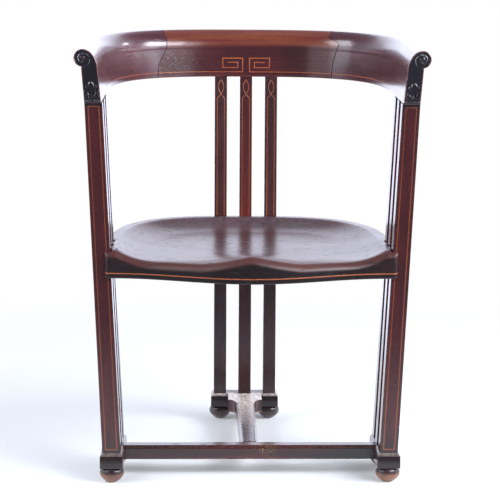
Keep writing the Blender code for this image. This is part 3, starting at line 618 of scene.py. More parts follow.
def rounded_rings(half_a: np.ndarray, half_b: np.ndarray, radius: np.ndarray, flank: float = 0.002,
                  steps: int = 5) -> tuple[np.ndarray, np.ndarray]:
    """Work out rectangles with rounded corners, one for each row.

    Each corner is an arc of the radius round a centre that is set in by it, with one more point a flank
    further along each side, so that the sides stay flat.

    Args:
        half_a: Half the size one way, for each row.
        half_b: Half the size the other way, for each row.
        radius: Corner radius, for each row.
        flank: How far past the arc the side's own point lies.
        steps: Steps in each arc.

    Returns:
        Points, rows by columns by 2, and how far each column lies on an arris, from 0 to 1.
    """
    angles = np.linspace(0.0, QUARTER, steps + 1)
    arc = np.stack([np.cos(angles), np.sin(angles)], axis=-1)
    flanks = np.array([[0.0, -flank], [-flank, 0.0]])
    rounds = np.concatenate([arc[:1], arc, arc[-1:]])[None] * radius[:, None, None]
    rounds[:, 0] += flanks[0]
    rounds[:, -1] += flanks[1]
    corners = []
    for turn, (side, end) in enumerate(((1, 1), (-1, 1), (-1, -1), (1, -1))):
        cosine, sine = round(math.cos(QUARTER * turn)), round(math.sin(QUARTER * turn))
        turned = np.stack([rounds[..., 0] * cosine - rounds[..., 1] * sine,
                           rounds[..., 0] * sine + rounds[..., 1] * cosine], axis=-1)
        centre = np.stack([side * (half_a - radius), end * (half_b - radius)], axis=-1)
        corners.append(turned + centre[:, None])
    arris = np.tile(np.concatenate([[0.0], np.ones(steps + 1), [0.0]]), 4)
    return np.concatenate(corners, axis=1), arris


@dataclass(frozen=True)
class Inlay:
    """Stringing let into the wood: a flat ribbon with eased edges, a hair proud of the surface."""

    width: float = 0.0018
    proud: float = 0.00008
    depth: float = 0.0006
    flat_share: float = 0.84

    def skin(self, route: np.ndarray, place: Callable[..., np.ndarray], closed: bool = False,
             share: float | np.ndarray = 1.0) -> Skin:
        """Carry the ribbon's profile along a flat route, mitred where it turns.

        At each point the mitre is the sum of the two sides' normals over one plus their product.

        Args:
            route: Points of the flat route.
            place: Gives the point on the wood for a flat place and a height above the surface.
            closed: Whether the route comes back to its start.
            share: Share of the full width, for the whole route or for each of its points.

        Returns:
            The ribbon.
        """
        ahead = np.roll(route, -1, axis=0) - route
        if not closed:
            ahead[-1] = ahead[-2]
        ahead = unit(ahead)
        behind = np.roll(ahead, 1, axis=0)
        if not closed:
            behind[0] = ahead[0]
        left = np.stack([-ahead[:, 1], ahead[:, 0]], axis=-1)
        last = np.stack([-behind[:, 1], behind[:, 0]], axis=-1)
        mitre = (left + last) / (1 + (left * last).sum(axis=1, keepdims=True))
        mitre *= np.broadcast_to(share, len(route))[:, None]
        across = np.array([-1.0, -1.0, -self.flat_share, self.flat_share, 1.0, 1.0]) * self.width / 2
        lift = np.array([-self.depth, 0.0, self.proud, self.proud, 0.0, -self.depth])
        flat = route[:, None] + mitre[:, None] * across[None, :, None]
        fibres = np.stack(np.broadcast_arrays(run_along(route)[:, None], across, lift), axis=-1)
        points = place(flat[..., 0], flat[..., 1], np.broadcast_to(lift, flat.shape[:2]))
        if closed:
            points = np.concatenate([points, points[:1]])
            fibres = np.concatenate([fibres, fibres[:1]])
        return Skin(points, caps=not closed, fibres=fibres)


STRING = Inlay()


@dataclass
class Rail:
    """The rolled horseshoe rail: a crest and two arms, with carved scroll ends and inlaid strings.

    Its section has a flared face, a quarter ellipse over the top and a round roll behind. Its plan is
    straight along the arms and then a squared ellipse of power 3. Its underside rises towards the back.
    """

    levels: Levels
    height: float = 0.0915
    thickness: float = 0.0290
    straight: float = 0.150
    face_height: float = 0.054
    face_flare: float = 0.0052
    roll_radius: float = 0.015
    roll_centre: float = 0.0315
    roll_end: float = math.radians(-80.0)
    plan_power: float = 3.0
    joint: float = 0.170
    arris: float = 0.0014
    groove: float = 0.0008
    fade_start: float = 0.0575
    fade_end: float = 0.0650
    string_raise: float = 0.0097
    string_share: float = 0.7
    key_gap: float = 0.0138
    key_width: float = 0.0395
    key_height: float = 0.0268
    key_step_across: float = 0.0095
    key_step_up: float = 0.0083
    left_joint: tuple[Pair, ...] = (
        (0.0, -0.006), (0.007, -0.0043), (0.026, -0.002), (0.038, 0.0055), (0.050, 0.013), (0.064, 0.0188),
        (0.078, 0.0186), (0.087, 0.0173), (0.0915, 0.019))
    right_joint: tuple[Pair, ...] = (
        (0.0, 0.0026), (0.010, 0.0026), (0.028, 0.0014), (0.0425, -0.0015), (0.055, -0.005), (0.068, -0.0095),
        (0.0715, -0.007), (0.077, 0.0125), (0.080, 0.0150), (0.0915, 0.0133))
    joint_points: int = 200
    joint_blur: int = 5
    low_wear: float = 0.5
    low_wear_height: float = 0.002
    end_wear: float = 0.8
    end_wear_least: float = 0.6
    end_wear_start: Pair = (0.004, 0.010)
    end_wear_full: Pair = (0.045, 0.065)
    stain: float = 0.45
    stain_place: float = 0.10
    stain_spread: float = 0.04
    plan_points: int = 6001
    crest_steps: tuple[int, int] = (56, 36)
    crest_rows: int = 150
    arm_steps: tuple[int, int] = (90, 40)
    arm_rows: int = 110
    row_margin: float = 0.006
    arm_string_points: int = 90
    crest_string_points: int = 70

    def __post_init__(self) -> None:
        """Lay out the plan once, from the right arm's end round to the left one's."""
        self.half_width = self.levels.rail_reach - self.roll_centre - self.roll_radius
        depth = self.levels.rail_back - self.levels.front - self.roll_centre - self.roll_radius
        climb = self.levels.rail_top - self.height - self.levels.rail_front
        self.rise = climb / (depth + self.roll_centre)
        reach = depth - self.straight
        angle = np.linspace(0.0, math.pi, self.plan_points)
        cosine, sine = np.cos(angle), np.clip(np.sin(angle), 0.0, 1.0)
        across = np.sign(cosine) * np.abs(cosine) ** (2 / self.plan_power)
        along = sine ** (2 / self.plan_power)
        normal = np.stack([np.sign(across) * np.abs(across) ** (self.plan_power - 1) / self.half_width,
                           along ** (self.plan_power - 1) / reach], axis=-1)
        plan = np.stack([self.half_width * across, self.straight + reach * along], axis=-1)
        arm = np.array([[self.half_width, 0.0]])
        self.plan = np.concatenate([arm, plan, arm * (-1, 1)])
        self.normals = np.concatenate([[[1.0, 0.0]], unit(normal), [[-1.0, 0.0]]])
        self.run = run_along(self.plan)
        self.length = self.run[-1]
        self.joint_run = float(np.interp(-self.joint, -self.plan[1:-1, 0], self.run[1:-1]))

    def underside(self, depth: np.ndarray) -> np.ndarray:
        """Height of the rail's underside at a depth in the chair's frame."""
        return self.levels.rail_front + self.rise * (depth - self.levels.front)

    def place(self, run: np.ndarray, out: np.ndarray, up: np.ndarray) -> np.ndarray:
        """Set points of the section at a run along the plan.

        Args:
            run: Distance along the inner lower edge from the right arm's end.
            out: Distance outwards from that edge.
            up: Distance above the underside.

        Returns:
            Points in the chair's frame.
        """
        x, y, nx, ny = (np.interp(run, self.run, values) for values in
                        (self.plan[:, 0], self.plan[:, 1], self.normals[:, 0], self.normals[:, 1]))
        size = np.hypot(nx, ny)
        depth = self.levels.front + y + ny / size * out
        return np.stack(np.broadcast_arrays(x + nx / size * out, depth, self.underside(depth) + up), axis=-1)

    def inner(self, up: np.ndarray) -> np.ndarray:
        """Work out the inner face: a flare, and above it a quarter ellipse.

        Args:
            up: Distance above the underside.

        Returns:
            Distance outwards.
        """
        climb = np.clip((up - self.face_height) / (self.height - self.face_height), 0.0, 1.0)
        roll = self.roll_centre - (self.roll_centre - self.face_flare) * np.sqrt(1 - climb * climb)
        flare = self.face_flare * up / self.face_height
        return np.where(up <= self.face_height, flare, roll) + self.ease(up)

    def outer(self, up: np.ndarray) -> np.ndarray:
        """Work out the outer face: a straight slope, and above it the round of the roll.

        Args:
            up: Distance above the underside.

        Returns:
            Distance outwards.
        """
        middle = self.height - self.roll_radius
        neck_up = middle + self.roll_radius * math.sin(self.roll_end)
        neck_out = self.roll_centre + self.roll_radius * math.cos(self.roll_end)
        climb = np.clip((up - middle) / self.roll_radius, -1.0, 1.0)
        roll = self.roll_centre + self.roll_radius * np.sqrt(1 - climb * climb)
        slope = self.thickness + (neck_out - self.thickness) * up / neck_up
        return np.where(up < neck_up, slope, roll) - self.ease(up)

    def ease(self, up: np.ndarray) -> np.ndarray:
        """How far the rounded lower arrises draw a face in."""
        left = np.clip(self.arris - up, 0.0, self.arris)
        return self.arris - np.sqrt(self.arris ** 2 - left ** 2)

    def section(self, face_steps: int, roll_steps: int) -> tuple[np.ndarray, np.ndarray]:
        """Outline of the rail, up its inner face, over the top and down its outer face.

        Args:
            face_steps: Steps up the flared face.
            roll_steps: Steps over the roll.

        Returns:
            Points as distances outwards and up, and the directions that face away from the wood.
        """
        angles = np.linspace(self.roll_end, QUARTER, roll_steps)
        rolled = self.height - self.roll_radius + self.roll_radius * np.sin(angles)
        eased = self.arris * (1 - np.cos(np.linspace(0.0, QUARTER, ARRIS_POINTS)))
        climbs = np.sin(np.linspace(0.0, QUARTER, roll_steps))
        rounded = self.face_height + (self.height - self.face_height) * climbs
        face = np.linspace(self.arris, self.face_height, face_steps)
        up = np.unique(np.round(np.concatenate([eased, face, rounded, rolled]), 7))
        outline = np.concatenate([np.stack([self.inner(up), up], axis=-1),
                                  np.stack([self.outer(up), up], axis=-1)[-2::-1]])
        along = np.roll(outline, -1, axis=0) - np.roll(outline, 1, axis=0)
        away = np.stack([-along[:, 1], along[:, 0]], axis=-1)
        return outline, unit(away)

    def sweep(self, section: tuple[np.ndarray, np.ndarray], start: np.ndarray, end: np.ndarray,
              rows: int, grooves: tuple[bool, bool]) -> Skin:
        """Carry the section along the plan, drawn in at its two ends.

        A row's run is a share of the way from start to end, and the end rows keep a set distance from
        them. A joint's arris falls away evenly into a groove, and an arm's end is rounded.

        Args:
            section: Outline and outward directions.
            start: Run where each point of the outline starts.
            end: Run where each point of the outline ends.
            rows: Rows between the two ends.
            grooves: Whether each end is a joint, and not the end of an arm.

        Returns:
            The swept surface, with its wear, soil and fading.
        """
        outline, away = section
        turn, even = np.linspace(0.0, QUARTER, ARRIS_POINTS), np.linspace(0.0, 1.0, ARRIS_POINTS)
        rounded = self.arris * (1 - np.cos(turn)), self.arris * (1 - np.sin(turn))
        grooved = self.groove * even, self.groove * (1 - even)
        (near, near_inset), (far, far_inset) = (grooved if groove else rounded for groove in grooves)
        middle, ends = np.zeros(rows), np.zeros(ARRIS_POINTS)
        inset = np.concatenate([near_inset, middle, far_inset[::-1]])
        soil = np.concatenate([near_inset * grooves[0], middle, far_inset[::-1] * grooves[1]]) / self.groove
        share = np.linspace(self.row_margin, 1 - self.row_margin, rows)
        share = np.concatenate([ends, share, ends + 1])[:, None]
        run = start * (1 - share) + end * share + np.concatenate([near, middle, -far[::-1]])[:, None]
        flat = outline[None] - away[None] * inset[:, None, None]
        points = self.place(run, flat[..., 0], flat[..., 1])
        fibres = np.stack([run, flat[..., 0], flat[..., 1]], axis=-1)
        up = outline[:, 1]
        low = self.low_wear * np.exp(-(up / self.low_wear_height) ** 2)
        handled = self.end_wear_least + (1 - self.end_wear_least) * smooth(up, *self.end_wear_full)
        handled = self.end_wear * handled * smooth(up, *self.end_wear_start)
        edge = (inset > 0) & (soil == 0)
        wear = np.where(edge[:, None], handled, low)
        return Skin(points, fibres=fibres, marks={"wear": wear, "soil": soil[:, None]})

    def joint_line(self, up: np.ndarray, waves: Sequence[Pair]) -> np.ndarray:
        """Draw a joint as a wavering line: straight between a few heights, and then blurred.

        Args:
            up: Distance above the underside.
            waves: Heights, and how far the joint lies there from its middle place.

        Returns:
            Run of the joint from its arm's end.
        """
        heights, offsets = np.array(waves).T
        fine = np.linspace(heights[0], heights[-1], self.joint_points)
        padded = np.pad(np.interp(fine, heights, offsets), self.joint_blur, "edge")
        window = 2 * self.joint_blur + 1
        eased = np.convolve(padded, np.ones(window) / window, "valid")
        return self.joint_run + np.interp(up, fine, eased)

    def build(self) -> None:
        """Make the crest, the arms, their carved ends and their strings."""
        section = self.section(*self.crest_steps)
        up = section[0][:, 1]
        start, end = self.joint_line(up, self.right_joint), self.length - self.joint_line(up, self.left_joint)
        crest = self.sweep(section, start, end, self.crest_rows, (True, True))
        top = smooth(up, self.fade_start, self.fade_end)
        aside = (crest.points[..., 0] - self.stain_place) / self.stain_spread
        stain = self.stain * np.exp(-aside ** 2) * (1 - top)
        crest.marks |= {"faded": top, "soil": np.maximum(crest.marks["soil"], stain)}
        dress_skins("finished_crest_rail", [crest], RAIL_WOOD, "crest_rail")
        fine = self.section(*self.arm_steps)
        for side, name, waves in ((-1, "left", self.left_joint), (1, "right", self.right_joint)):
            line = self.joint_line(fine[0][:, 1], waves)
            arm = self.sweep(fine, np.zeros(len(line)), line, self.arm_rows, (False, True))
            arm.caps = False
            arm.points[..., 0] *= side
            dress_skins(f"finished_arm_rail_{name}", [arm], ARM_WOOD, f"arm_rail_{name}")
            dress_skins(f"carved_scroll_{name}", [ScrollEnd(self).skin(arm)], EBONISED)
            self.build_strings(name, side, float(self.joint_line(np.array(self.string_raise), waves)))

    def build_strings(self, name: str, side: int, joint: float) -> None:
        """Lay the strings along one arm and half of the crest, which ends in a Greek key.

        Args:
            name: Side's name.
            side: 1 on the right and -1 on the left.
            joint: Run of the joint where the strings meet.
        """
        middle = self.length / 2
        low, top = self.string_raise, self.string_raise + self.key_height
        near, far = self.key_gap / 2, self.key_gap / 2 + self.key_width

        def place(run: np.ndarray, up: np.ndarray, lift: np.ndarray) -> np.ndarray:
            """Set a place along and up the inner face at a height above it."""
            points = self.place(run, self.inner(up) - lift, up)
            return points * (side, 1, 1)

        run = np.linspace(STRING.width, joint - self.groove, self.arm_string_points)
        line = np.stack([run, np.full_like(run, low)], axis=-1)
        string = STRING.skin(line, place, share=self.string_share)
        dress_skins(f"inlaid_arm_string_{name}", [string], STRING_WOOD, f"arm_stringing_{name}")
        run = np.linspace(joint + self.groove, middle - near, self.crest_string_points)
        line = np.stack([run, np.full_like(run, low)], axis=-1)
        step, rise = self.key_step_across, self.key_step_up
        turns = np.array([(near, top), (far, top), (far, low + rise), (near + step, low + rise),
                          (near + step, top - rise), (far - step, top - rise)])
        route = np.concatenate([line, turns * (-1, 1) + (middle, 0)])
        share = np.concatenate([np.full(len(line), self.string_share), np.ones(len(turns))])
        string = STRING.skin(route, place, share=share)
        dress_skins(f"inlaid_crest_string_{name}", [string], STRING_WOOD, f"crest_stringing_{name}")


@dataclass
class ScrollEnd:
    """The carved front of an arm: a scroll on the roll's end and a palmette at its foot.

    The scroll is a fillet along a spiral, with coves sunk beside it. A leaf is a low plate and a vein a thin
    ridge, and each follows a curve through a foot, a bend and a tip (x and y of each, then half width, rise
    and share of rubbing and painted highlight, in mm).
    """

    rail: Rail
    columns: int = 72
    cove: float = 0.0010
    fillet: float = 0.0009
    eye: float = 0.0046
    spiral_angles: tuple[float, ...] = (-77, -45, -20, 5, 31, 63, 112, 169, 214, 253, 283)
    spiral_radii_mm: tuple[float, ...] = (15.4, 14.4, 13.6, 12.5, 10.4, 8.5, 7.3, 7.5, 7.5, 6.8, 5.4)
    curl_angles: tuple[float, ...] = (-77, 25)
    curl_radii_mm: tuple[float, ...] = (5.4, 4.6)
    leaves: tuple[tuple[float, ...], ...] = (
        (0.0, 6.0, 0.0, 20.0, 0.0, 35.0, 6.4, 1.5, 0.0),
        (1.5, 6.0, 4.5, 32.0, 9.5, 26.0, 2.6, 1.2, 0.0),
        (3.0, 5.0, 8.4, 10.0, 13.4, 19.0, 3.3, 1.2, 0.0))
    veins: tuple[tuple[float, ...], ...] = (
        (5.3, 29.9, 4.4, 33.8, 0.5, 36.0, 1.1, 2.2, 1.0),
        (6.6, 29.4, 8.6, 31.6, 9.0, 27.2, 0.9, 1.8, 0.5),
        (8.2, 20.6, 6.0, 17.2, 4.4, 12.8, 0.9, 1.8, 0.6),
        (11.2, 21.2, 13.6, 22.4, 13.6, 18.0, 0.9, 1.7, 0.6),
        (2.6, 7.2, 1.4, 11.5, 0.3, 15.5, 0.9, 1.8, 0.35),
        (4.4, 5.4, 9.0, 2.8, 13.4, 5.4, 1.0, 1.2, 0.3),
        (-0.5, 5.0, 2.0, 6.0, 4.4, 4.6, 1.0, 1.2, 0.3))
    edge_ease: float = 0.0012
    face_reach: Pair = (0.0165, 0.0155)
    outside_sunk: Pair = (30.0, 120.0)
    inside_sunk: Pair = (-60.0, 0.0)
    rub_and_highlight_start: Pair = (-45.0, 10.0)
    rub_and_highlight_end: Pair = (215.0, 170.0)
    rub_and_highlight_least: float = 0.25
    rub_and_highlight_width: float = 0.45
    curl_rub_and_highlight: float = 0.3
    curl_width: float = 0.7
    curl_fade: float = 15.0
    scroll_wear: float = 0.85
    vein_wear: float = 1.2
    eye_fading: float = 0.3
    band_rise_mm: float = 0.9
    band_middle_mm: float = 3.2
    band_half_mm: float = 1.6
    bead_depth: float = 0.3
    bead_radians_per_mm: float = 2.2
    curve_points: int = 60
    leaf_ends: Pair = (0.04, 0.985)
    leaf_swell: float = 1.8
    leaf_bluntness: float = 0.6
    leaf_flat: float = 0.72
    leaf_growth: float = 0.4
    vein_flat: float = 0.3
    hollow: float = 0.45
    hollow_reach: Pair = (0.75, 0.1)
    midrib: float = 0.2
    midrib_mm: float = 0.5

    def skin(self, arm: Skin) -> Skin:
        """Fill the arm's end with the carved face.

        Args:
            arm: The arm's surface, whose first row is the edge of the face.

        Returns:
            The face, row by row from the underside to the top.
        """
        edge = arm.points[0]
        half = (len(edge) + 1) // 2
        inner, outer = edge[:half], edge[:half - 2:-1]
        share = np.linspace(0.0, 1.0, self.columns)[None, :, None]
        points = inner[:, None] * (1 - share) + outer[:, None] * share
        side = np.sign(edge[0, 0])
        out = side * points[..., 0] - self.rail.half_width
        up = points[..., 2] - self.rail.levels.rail_front
        width = np.linalg.norm(outer - inner, axis=1)[:, None]
        margin = np.minimum(share[..., 0], 1 - share[..., 0]) * width
        fade = smooth(margin, 0.0, self.edge_ease) * smooth(up, 0.0, self.edge_ease)
        sunk, rub_and_highlight, eye = self.scroll(out, up)
        leaf, veins = self.palmette(out, up)
        points[..., 1] -= fade * (leaf - sunk)
        # The pale rubbed colour on the fillet and the veins is also a painted highlight.
        wear = np.maximum(self.scroll_wear * rub_and_highlight, self.vein_wear * veins)
        return Skin(points, wrap=False, caps=False, marks={"wear": wear, "faded": self.eye_fading * eye},
                    fibres=np.stack([up, out, points[..., 1]], axis=-1))

    def scroll(self, out: np.ndarray, up: np.ndarray) -> tuple[np.ndarray, np.ndarray, np.ndarray]:
        """Sink coves beside a fillet that follows a spiral round the roll's eye.

        The angle is 0 towards the sitter, a quarter turn at the top, and the spiral's radius is read from a
        few angles. A cove is one less the bell curve of the distance from the fillet.

        Args:
            out: Distance outwards on the face.
            up: Distance up the face.

        Returns:
            How far the face is sunk, how far its fillet is rubbed and brightened as a painted highlight, and
            how far a point is in the eye.
        """
        across = self.rail.roll_centre - out
        above = up - (self.rail.height - self.rail.roll_radius)
        radius = np.hypot(across, above)
        start = self.spiral_angles[0]
        angle = (np.degrees(np.arctan2(above, across)) - start) % 360 + start
        radii = np.array(self.spiral_radii_mm) / MM_IN_METRE
        turn = np.interp(angle, self.spiral_angles, radii)
        gap = np.abs(radius - turn)
        kept = np.where(radius > turn, smooth(angle, *self.outside_sunk), smooth(angle, *self.inside_sunk))
        cove = self.cove * kept * (1 - np.exp(-(gap / self.fillet) ** 2))
        boss = smooth(radius, self.eye, self.eye / 2)
        near = smooth(radius, *self.face_reach)
        rub_and_highlight = near * np.exp(-(gap / (self.rub_and_highlight_width * self.fillet)) ** 2)
        # Rubbing and painted highlight are strongest along the middle of the spiral and fade towards both of
        # its ends.
        for ramp in (self.rub_and_highlight_start, self.rub_and_highlight_end):
            rub_and_highlight = rub_and_highlight * (self.rub_and_highlight_least + (1 - self.rub_and_highlight_least) * smooth(angle, *ramp))
        curl = np.abs(radius - np.interp(angle, self.curl_angles, self.curl_radii_mm) / MM_IN_METRE)
        end = self.curl_angles[1]
        drawn = self.curl_rub_and_highlight * smooth(angle, end + self.curl_fade, end)
        rub_and_highlight = rub_and_highlight + drawn * np.exp(-(curl / (self.curl_width * self.fillet)) ** 2)
        return cove * (1 - boss) * near, rub_and_highlight, boss * near

    def palmette(self, out: np.ndarray, up: np.ndarray) -> tuple[np.ndarray, np.ndarray]:
        """Raise the leaves, their veins, and the beaded band that they stand on.

        A leaf's middle line is a quadratic curve through a foot, a bend and a tip, its half width is a sine
        of the way along it, and its height grows towards the tip, which curls forwards.

        Args:
            out: Distance outwards on the face.
            up: Distance up the face.

        Returns:
            Height of the carving, and how far it is rubbed and brightened as a painted highlight.
        """
        middle = (self.rail.inner(up) + self.rail.outer(up)) / 2
        x, y = np.abs(out - middle) * MM_IN_METRE, up * MM_IN_METRE
        along = np.linspace(0.0, 1.0, self.curve_points)
        band = np.sqrt(np.clip(1 - ((y - self.band_middle_mm) / self.band_half_mm) ** 2, 0.0, 1.0))
        beads = 1 - self.bead_depth * np.cos(self.bead_radians_per_mm * x) ** 2
        height = self.band_rise_mm * band * beads
        rubbed = np.zeros_like(height)
        for foot_x, foot_y, bend_x, bend_y, tip_x, tip_y, half, rise, rub_and_highlight in self.leaves + self.veins:
            line_x = (1 - along) ** 2 * foot_x + 2 * along * (1 - along) * bend_x + along ** 2 * tip_x
            line_y = (1 - along) ** 2 * foot_y + 2 * along * (1 - along) * bend_y + along ** 2 * tip_y
            gaps = np.hypot(x[..., None] - line_x, y[..., None] - line_y)
            gap, way = gaps.min(axis=-1), along[gaps.argmin(axis=-1)]
            swell = np.sin(math.pi * np.clip(way, *self.leaf_ends) ** self.leaf_swell)
            reach = gap / (half * swell ** self.leaf_bluntness)
            plate = smooth(reach, 1.0, self.vein_flat if rub_and_highlight else self.leaf_flat)
            raised = rise * plate
            if not rub_and_highlight:
                midrib = self.midrib * np.exp(-(gap / self.midrib_mm) ** 2)
                hollow = self.hollow * smooth(reach, *self.hollow_reach) - midrib
                raised = raised * (self.leaf_growth + (1 - self.leaf_growth) * way) * (1 - hollow)
            height = np.maximum(height, raised)
            rubbed = np.maximum(rubbed, rub_and_highlight * plate)
        return height / MM_IN_METRE, rubbed


@dataclass
class Posts:
    """Nine square posts that taper and lean outwards, with strings on the front legs and the back posts."""

    levels: Levels
    rail: Rail
    width: float = 0.0323
    top_width: float = 0.0306
    thickness: float = 0.0253
    top_thickness: float = 0.0244
    lean: float = 0.0435
    arris: float = 0.0009
    rear_arris: float = 0.0004
    sunk: float = 0.0006
    low_darkening_height: float = 0.105
    rows: int = 48
    leg_string_inset: float = 0.0063
    leg_string_base: float = 0.0067
    leg_string_top: float = 0.0052
    back_string_spacing: float = 0.0144
    back_string_base: float = 0.0015
    loop_top: float = 0.0064
    loop_height: float = 0.029
    loop_width: float = 0.011
    loop_flare: float = 0.008
    back_string_share: float = 0.8
    pellet_diameter: float = 0.010
    pellet_proud: float = 0.00025
    pellet_points: int = 32
    pellet_wear: float = 0.25
    pellet_profile: tuple[Pair, ...] = (
        (0.02, 1.0), (0.3, 0.95), (0.6, 0.8), (0.85, 0.55), (0.96, 0.35), (1.0, 0.0), (1.0, -2.0))
    top_rows: tuple[float, ...] = (0.010, 0.0062, 0.0046, 0.0)
    # Painted shade on the back posts outside the lit band round the seat's rim: the side posts, and less on
    # the centre one.
    dull: float = 0.6
    back_shade_middle: float = 0.24
    # How much darker the posts are towards the plinth.
    low_darkening: float = 0.65
    # Painted shade just below the rail, on the posts of the side stands.
    shade: float = 0.92
    shade_band: Pair = (0.0064, 0.0044)
    edge_soil: float = 0.5
    edge_wear: float = 0.3
    # How much darker the front legs' strings are towards the top.
    leg_string_soil: float = 0.45
    loop_points: int = 31
    crossing_lift: float = 1.4

    def half_sizes(self, height: np.ndarray) -> tuple[np.ndarray, np.ndarray]:
        """Work out half the width and half the thickness, which fall evenly with height.

        Args:
            height: Height in the chair's frame.

        Returns:
            Half the width and half the thickness.
        """
        share = (height - self.levels.plinth_top) / (self.levels.rail_front - self.levels.plinth_top)
        return ((self.width + (self.top_width - self.width) * share) / 2,
                (self.thickness + (self.top_thickness - self.thickness) * share) / 2)

    def axis(self, height: np.ndarray) -> np.ndarray:
        """Outward travel of a post's middle, which leans evenly."""
        return self.lean * (height - self.levels.plinth_top)

    def shape(self, stand: Stand, offset: float, heights: np.ndarray, grow: Pair = (0.0, 0.0),
              follow: bool = False) -> Skin:
        """Carry the post's rounded section up its leaning axis.

        Args:
            stand: Stand that the post is in.
            offset: Place of the post along the plinth.
            heights: Height of each row.
            grow: How far the section is widened inwards and all round.
            follow: Whether the top row follows the rail's sloping underside.

        Returns:
            The post.
        """
        inwards, around = grow
        half_width, half_thickness = self.half_sizes(heights)
        back = stand is Stand.BACK
        behind = not back and offset >= 0.0
        rings, arris = rounded_rings(half_width + around + inwards / 2, half_thickness + around,
                                     np.full(len(heights), self.rear_arris if behind else self.arris))
        local = np.stack([rings[..., 0] + self.axis(heights)[:, None] - inwards / 2, rings[..., 1] + offset,
                          np.broadcast_to(heights[:, None], rings.shape[:2])], axis=-1)
        points = stand.place(self.levels, local)
        if follow:
            points[-1, :, 2] = self.rail.underside(points[-1, :, 1]) + self.sunk
        z, levels = points[..., 2], self.levels
        # Painted light and shade on the back posts: a lit band that is brightest at the seat's rim and fades
        # up towards the rail. The back posts are darkened outside it, the side ones most, and the centre post
        # is paler within it.
        light = smooth(z, levels.rail_top, levels.seat_rim) * smooth(z, levels.seat_base, levels.seat_rim)
        dull = (self.dull if offset else self.back_shade_middle) * back * (1 - light)
        # Darker towards the plinth.
        low_darkening = self.low_darkening * smooth(z, self.low_darkening_height, levels.plinth_top)
        # Painted shade: the side stands' posts are darkened nearly to black in a thin band just below the
        # rail.
        low, high = (levels.rail_front - drop for drop in self.shade_band)
        shade = self.shade * (not back) * smooth(z, low, high)
        edge = self.edge_soil * (not behind) * np.broadcast_to(arris, z.shape)
        return Skin(points, marks={
            "wear": self.edge_wear * arris * (1 - shade), "faded": light * (back and offset == 0.0),
            "soil": np.max([low_darkening, shade, dull, edge], axis=0)})

    def build(self) -> None:
        """Make the posts, their pellets and their strings."""
        first, *rest = self.top_rows
        for stand in Stand:
            for name, step in zip(stand.posts(), (-1, 0, 1)):
                offset = step * self.levels.post_pitch
                axis = np.array([self.axis(self.levels.rail_front), offset, 0.0])
                top = float(self.rail.underside(stand.place(self.levels, axis)[1]))
                shaft = np.linspace(self.levels.plinth_top - self.sunk, top - first, self.rows)
                post = self.shape(stand, offset, np.concatenate([shaft, top - np.array(rest)]), follow=True)
                finish = DULLED if stand is Stand.BACK and offset else POLISHED
                dress_skins(f"polished_{name}", [post], finish, name)
                self.build_pellet(stand, name, offset)
                side = name.rsplit("_", 1)[1]
                if name.startswith("front_leg"):
                    self.build_leg_string(stand, side, offset)
                if stand is Stand.BACK:
                    self.build_back_strings(side, offset)

    def build_pellet(self, stand: Stand, name: str, offset: float) -> None:
        """Set a low dome of wood over a screw's head, on the post's outer face.

        Args:
            stand: Stand that the post is in.
            name: The post's name.
            offset: Place of the post along the plinth.
        """
        middle = (self.levels.seat_base + self.levels.seat_rim) / 2
        radius = self.pellet_diameter / 2
        share, lift = np.array(self.pellet_profile).T[..., None]
        angle = np.linspace(0.0, 2 * math.pi, self.pellet_points, endpoint=False)[None]
        height = middle + radius * share * np.sin(angle)
        face = self.axis(height) + self.half_sizes(height)[0] + lift * self.pellet_proud
        local = np.stack([face, offset + radius * share * np.cos(angle), height], axis=-1)
        dome = Skin(stand.place(self.levels, local), marks={"wear": self.pellet_wear})
        dress_skins(f"plugged_{name}", [dome], POLISHED, f"pellet_{name}", grain=Grain.ALONG_Y)

    def build_leg_string(self, stand: Stand, side: str, offset: float) -> None:
        """Frame a front leg's face with a string that follows its taper.

        Args:
            stand: Stand that the leg is in.
            side: Side's name.
            offset: Place of the leg along the plinth.
        """
        front = -1 if stand is Stand.RIGHT else 1
        base = self.levels.plinth_top + self.leg_string_base
        top = self.levels.rail_front - self.leg_string_top
        low, high = (float(self.half_sizes(height)[0]) - self.leg_string_inset for height in (base, top))

        def place(across: np.ndarray, height: np.ndarray, lift: np.ndarray) -> np.ndarray:
            """Set a place across and up the leg's face at a height above it."""
            along = offset + front * (self.half_sizes(height)[1] + lift)
            return stand.place(self.levels, np.stack([self.axis(height) + across, along, height], axis=-1))

        route = np.array([(-low, base), (low, base), (high, top), (-high, top)])
        string = STRING.skin(route, place, closed=True)
        # The string is darker towards the top.
        string.marks = {"soil": self.leg_string_soil * smooth(string.points[..., 2], base, top)}
        dress_skins(f"inlaid_leg_string_{side}", [string], LEG_STRING_WOOD, f"leg_stringing_{side}")

    def build_back_strings(self, side: str, offset: float) -> None:
        """Lay a pair of strings that turn in, cross and close in a pointed loop below the rail.

        The strings run straight to the crossing, and the loop is half a sine wave.

        Args:
            side: Post's name within the back.
            offset: Place of the post along the plinth.
        """
        face = self.levels.back_depth + float(self.axis(self.levels.rail_top - self.rail.height))
        top = float(self.rail.underside(face)) - self.loop_top
        crossing = top - self.loop_height
        half = self.back_string_spacing / 2
        share = np.linspace(0.0, 1.0, self.loop_points)
        loop = np.stack([self.loop_width / 2 * np.sin(math.pi * share), crossing + self.loop_height * share],
                        axis=-1)
        route = np.concatenate([[(-half, self.levels.seat_rim + self.back_string_base),
                                 (-half, crossing - self.loop_flare)], loop])

        def place(across: np.ndarray, height: np.ndarray, lift: np.ndarray) -> np.ndarray:
            """Set a place across and up the post's inner face at a height above it."""
            inner = self.axis(height) - self.half_sizes(height)[0] - lift
            return Stand.BACK.place(self.levels, np.stack([inner, offset + across, height], axis=-1))

        pair = [Inlay(proud=proud).skin(route * (way, 1), place, share=self.back_string_share)
                for way, proud in ((1, STRING.proud), (-1, self.crossing_lift * STRING.proud))]
        dress_skins(f"inlaid_back_string_{side}", pair, BACK_STRING_WOOD, f"back_stringing_{side}")


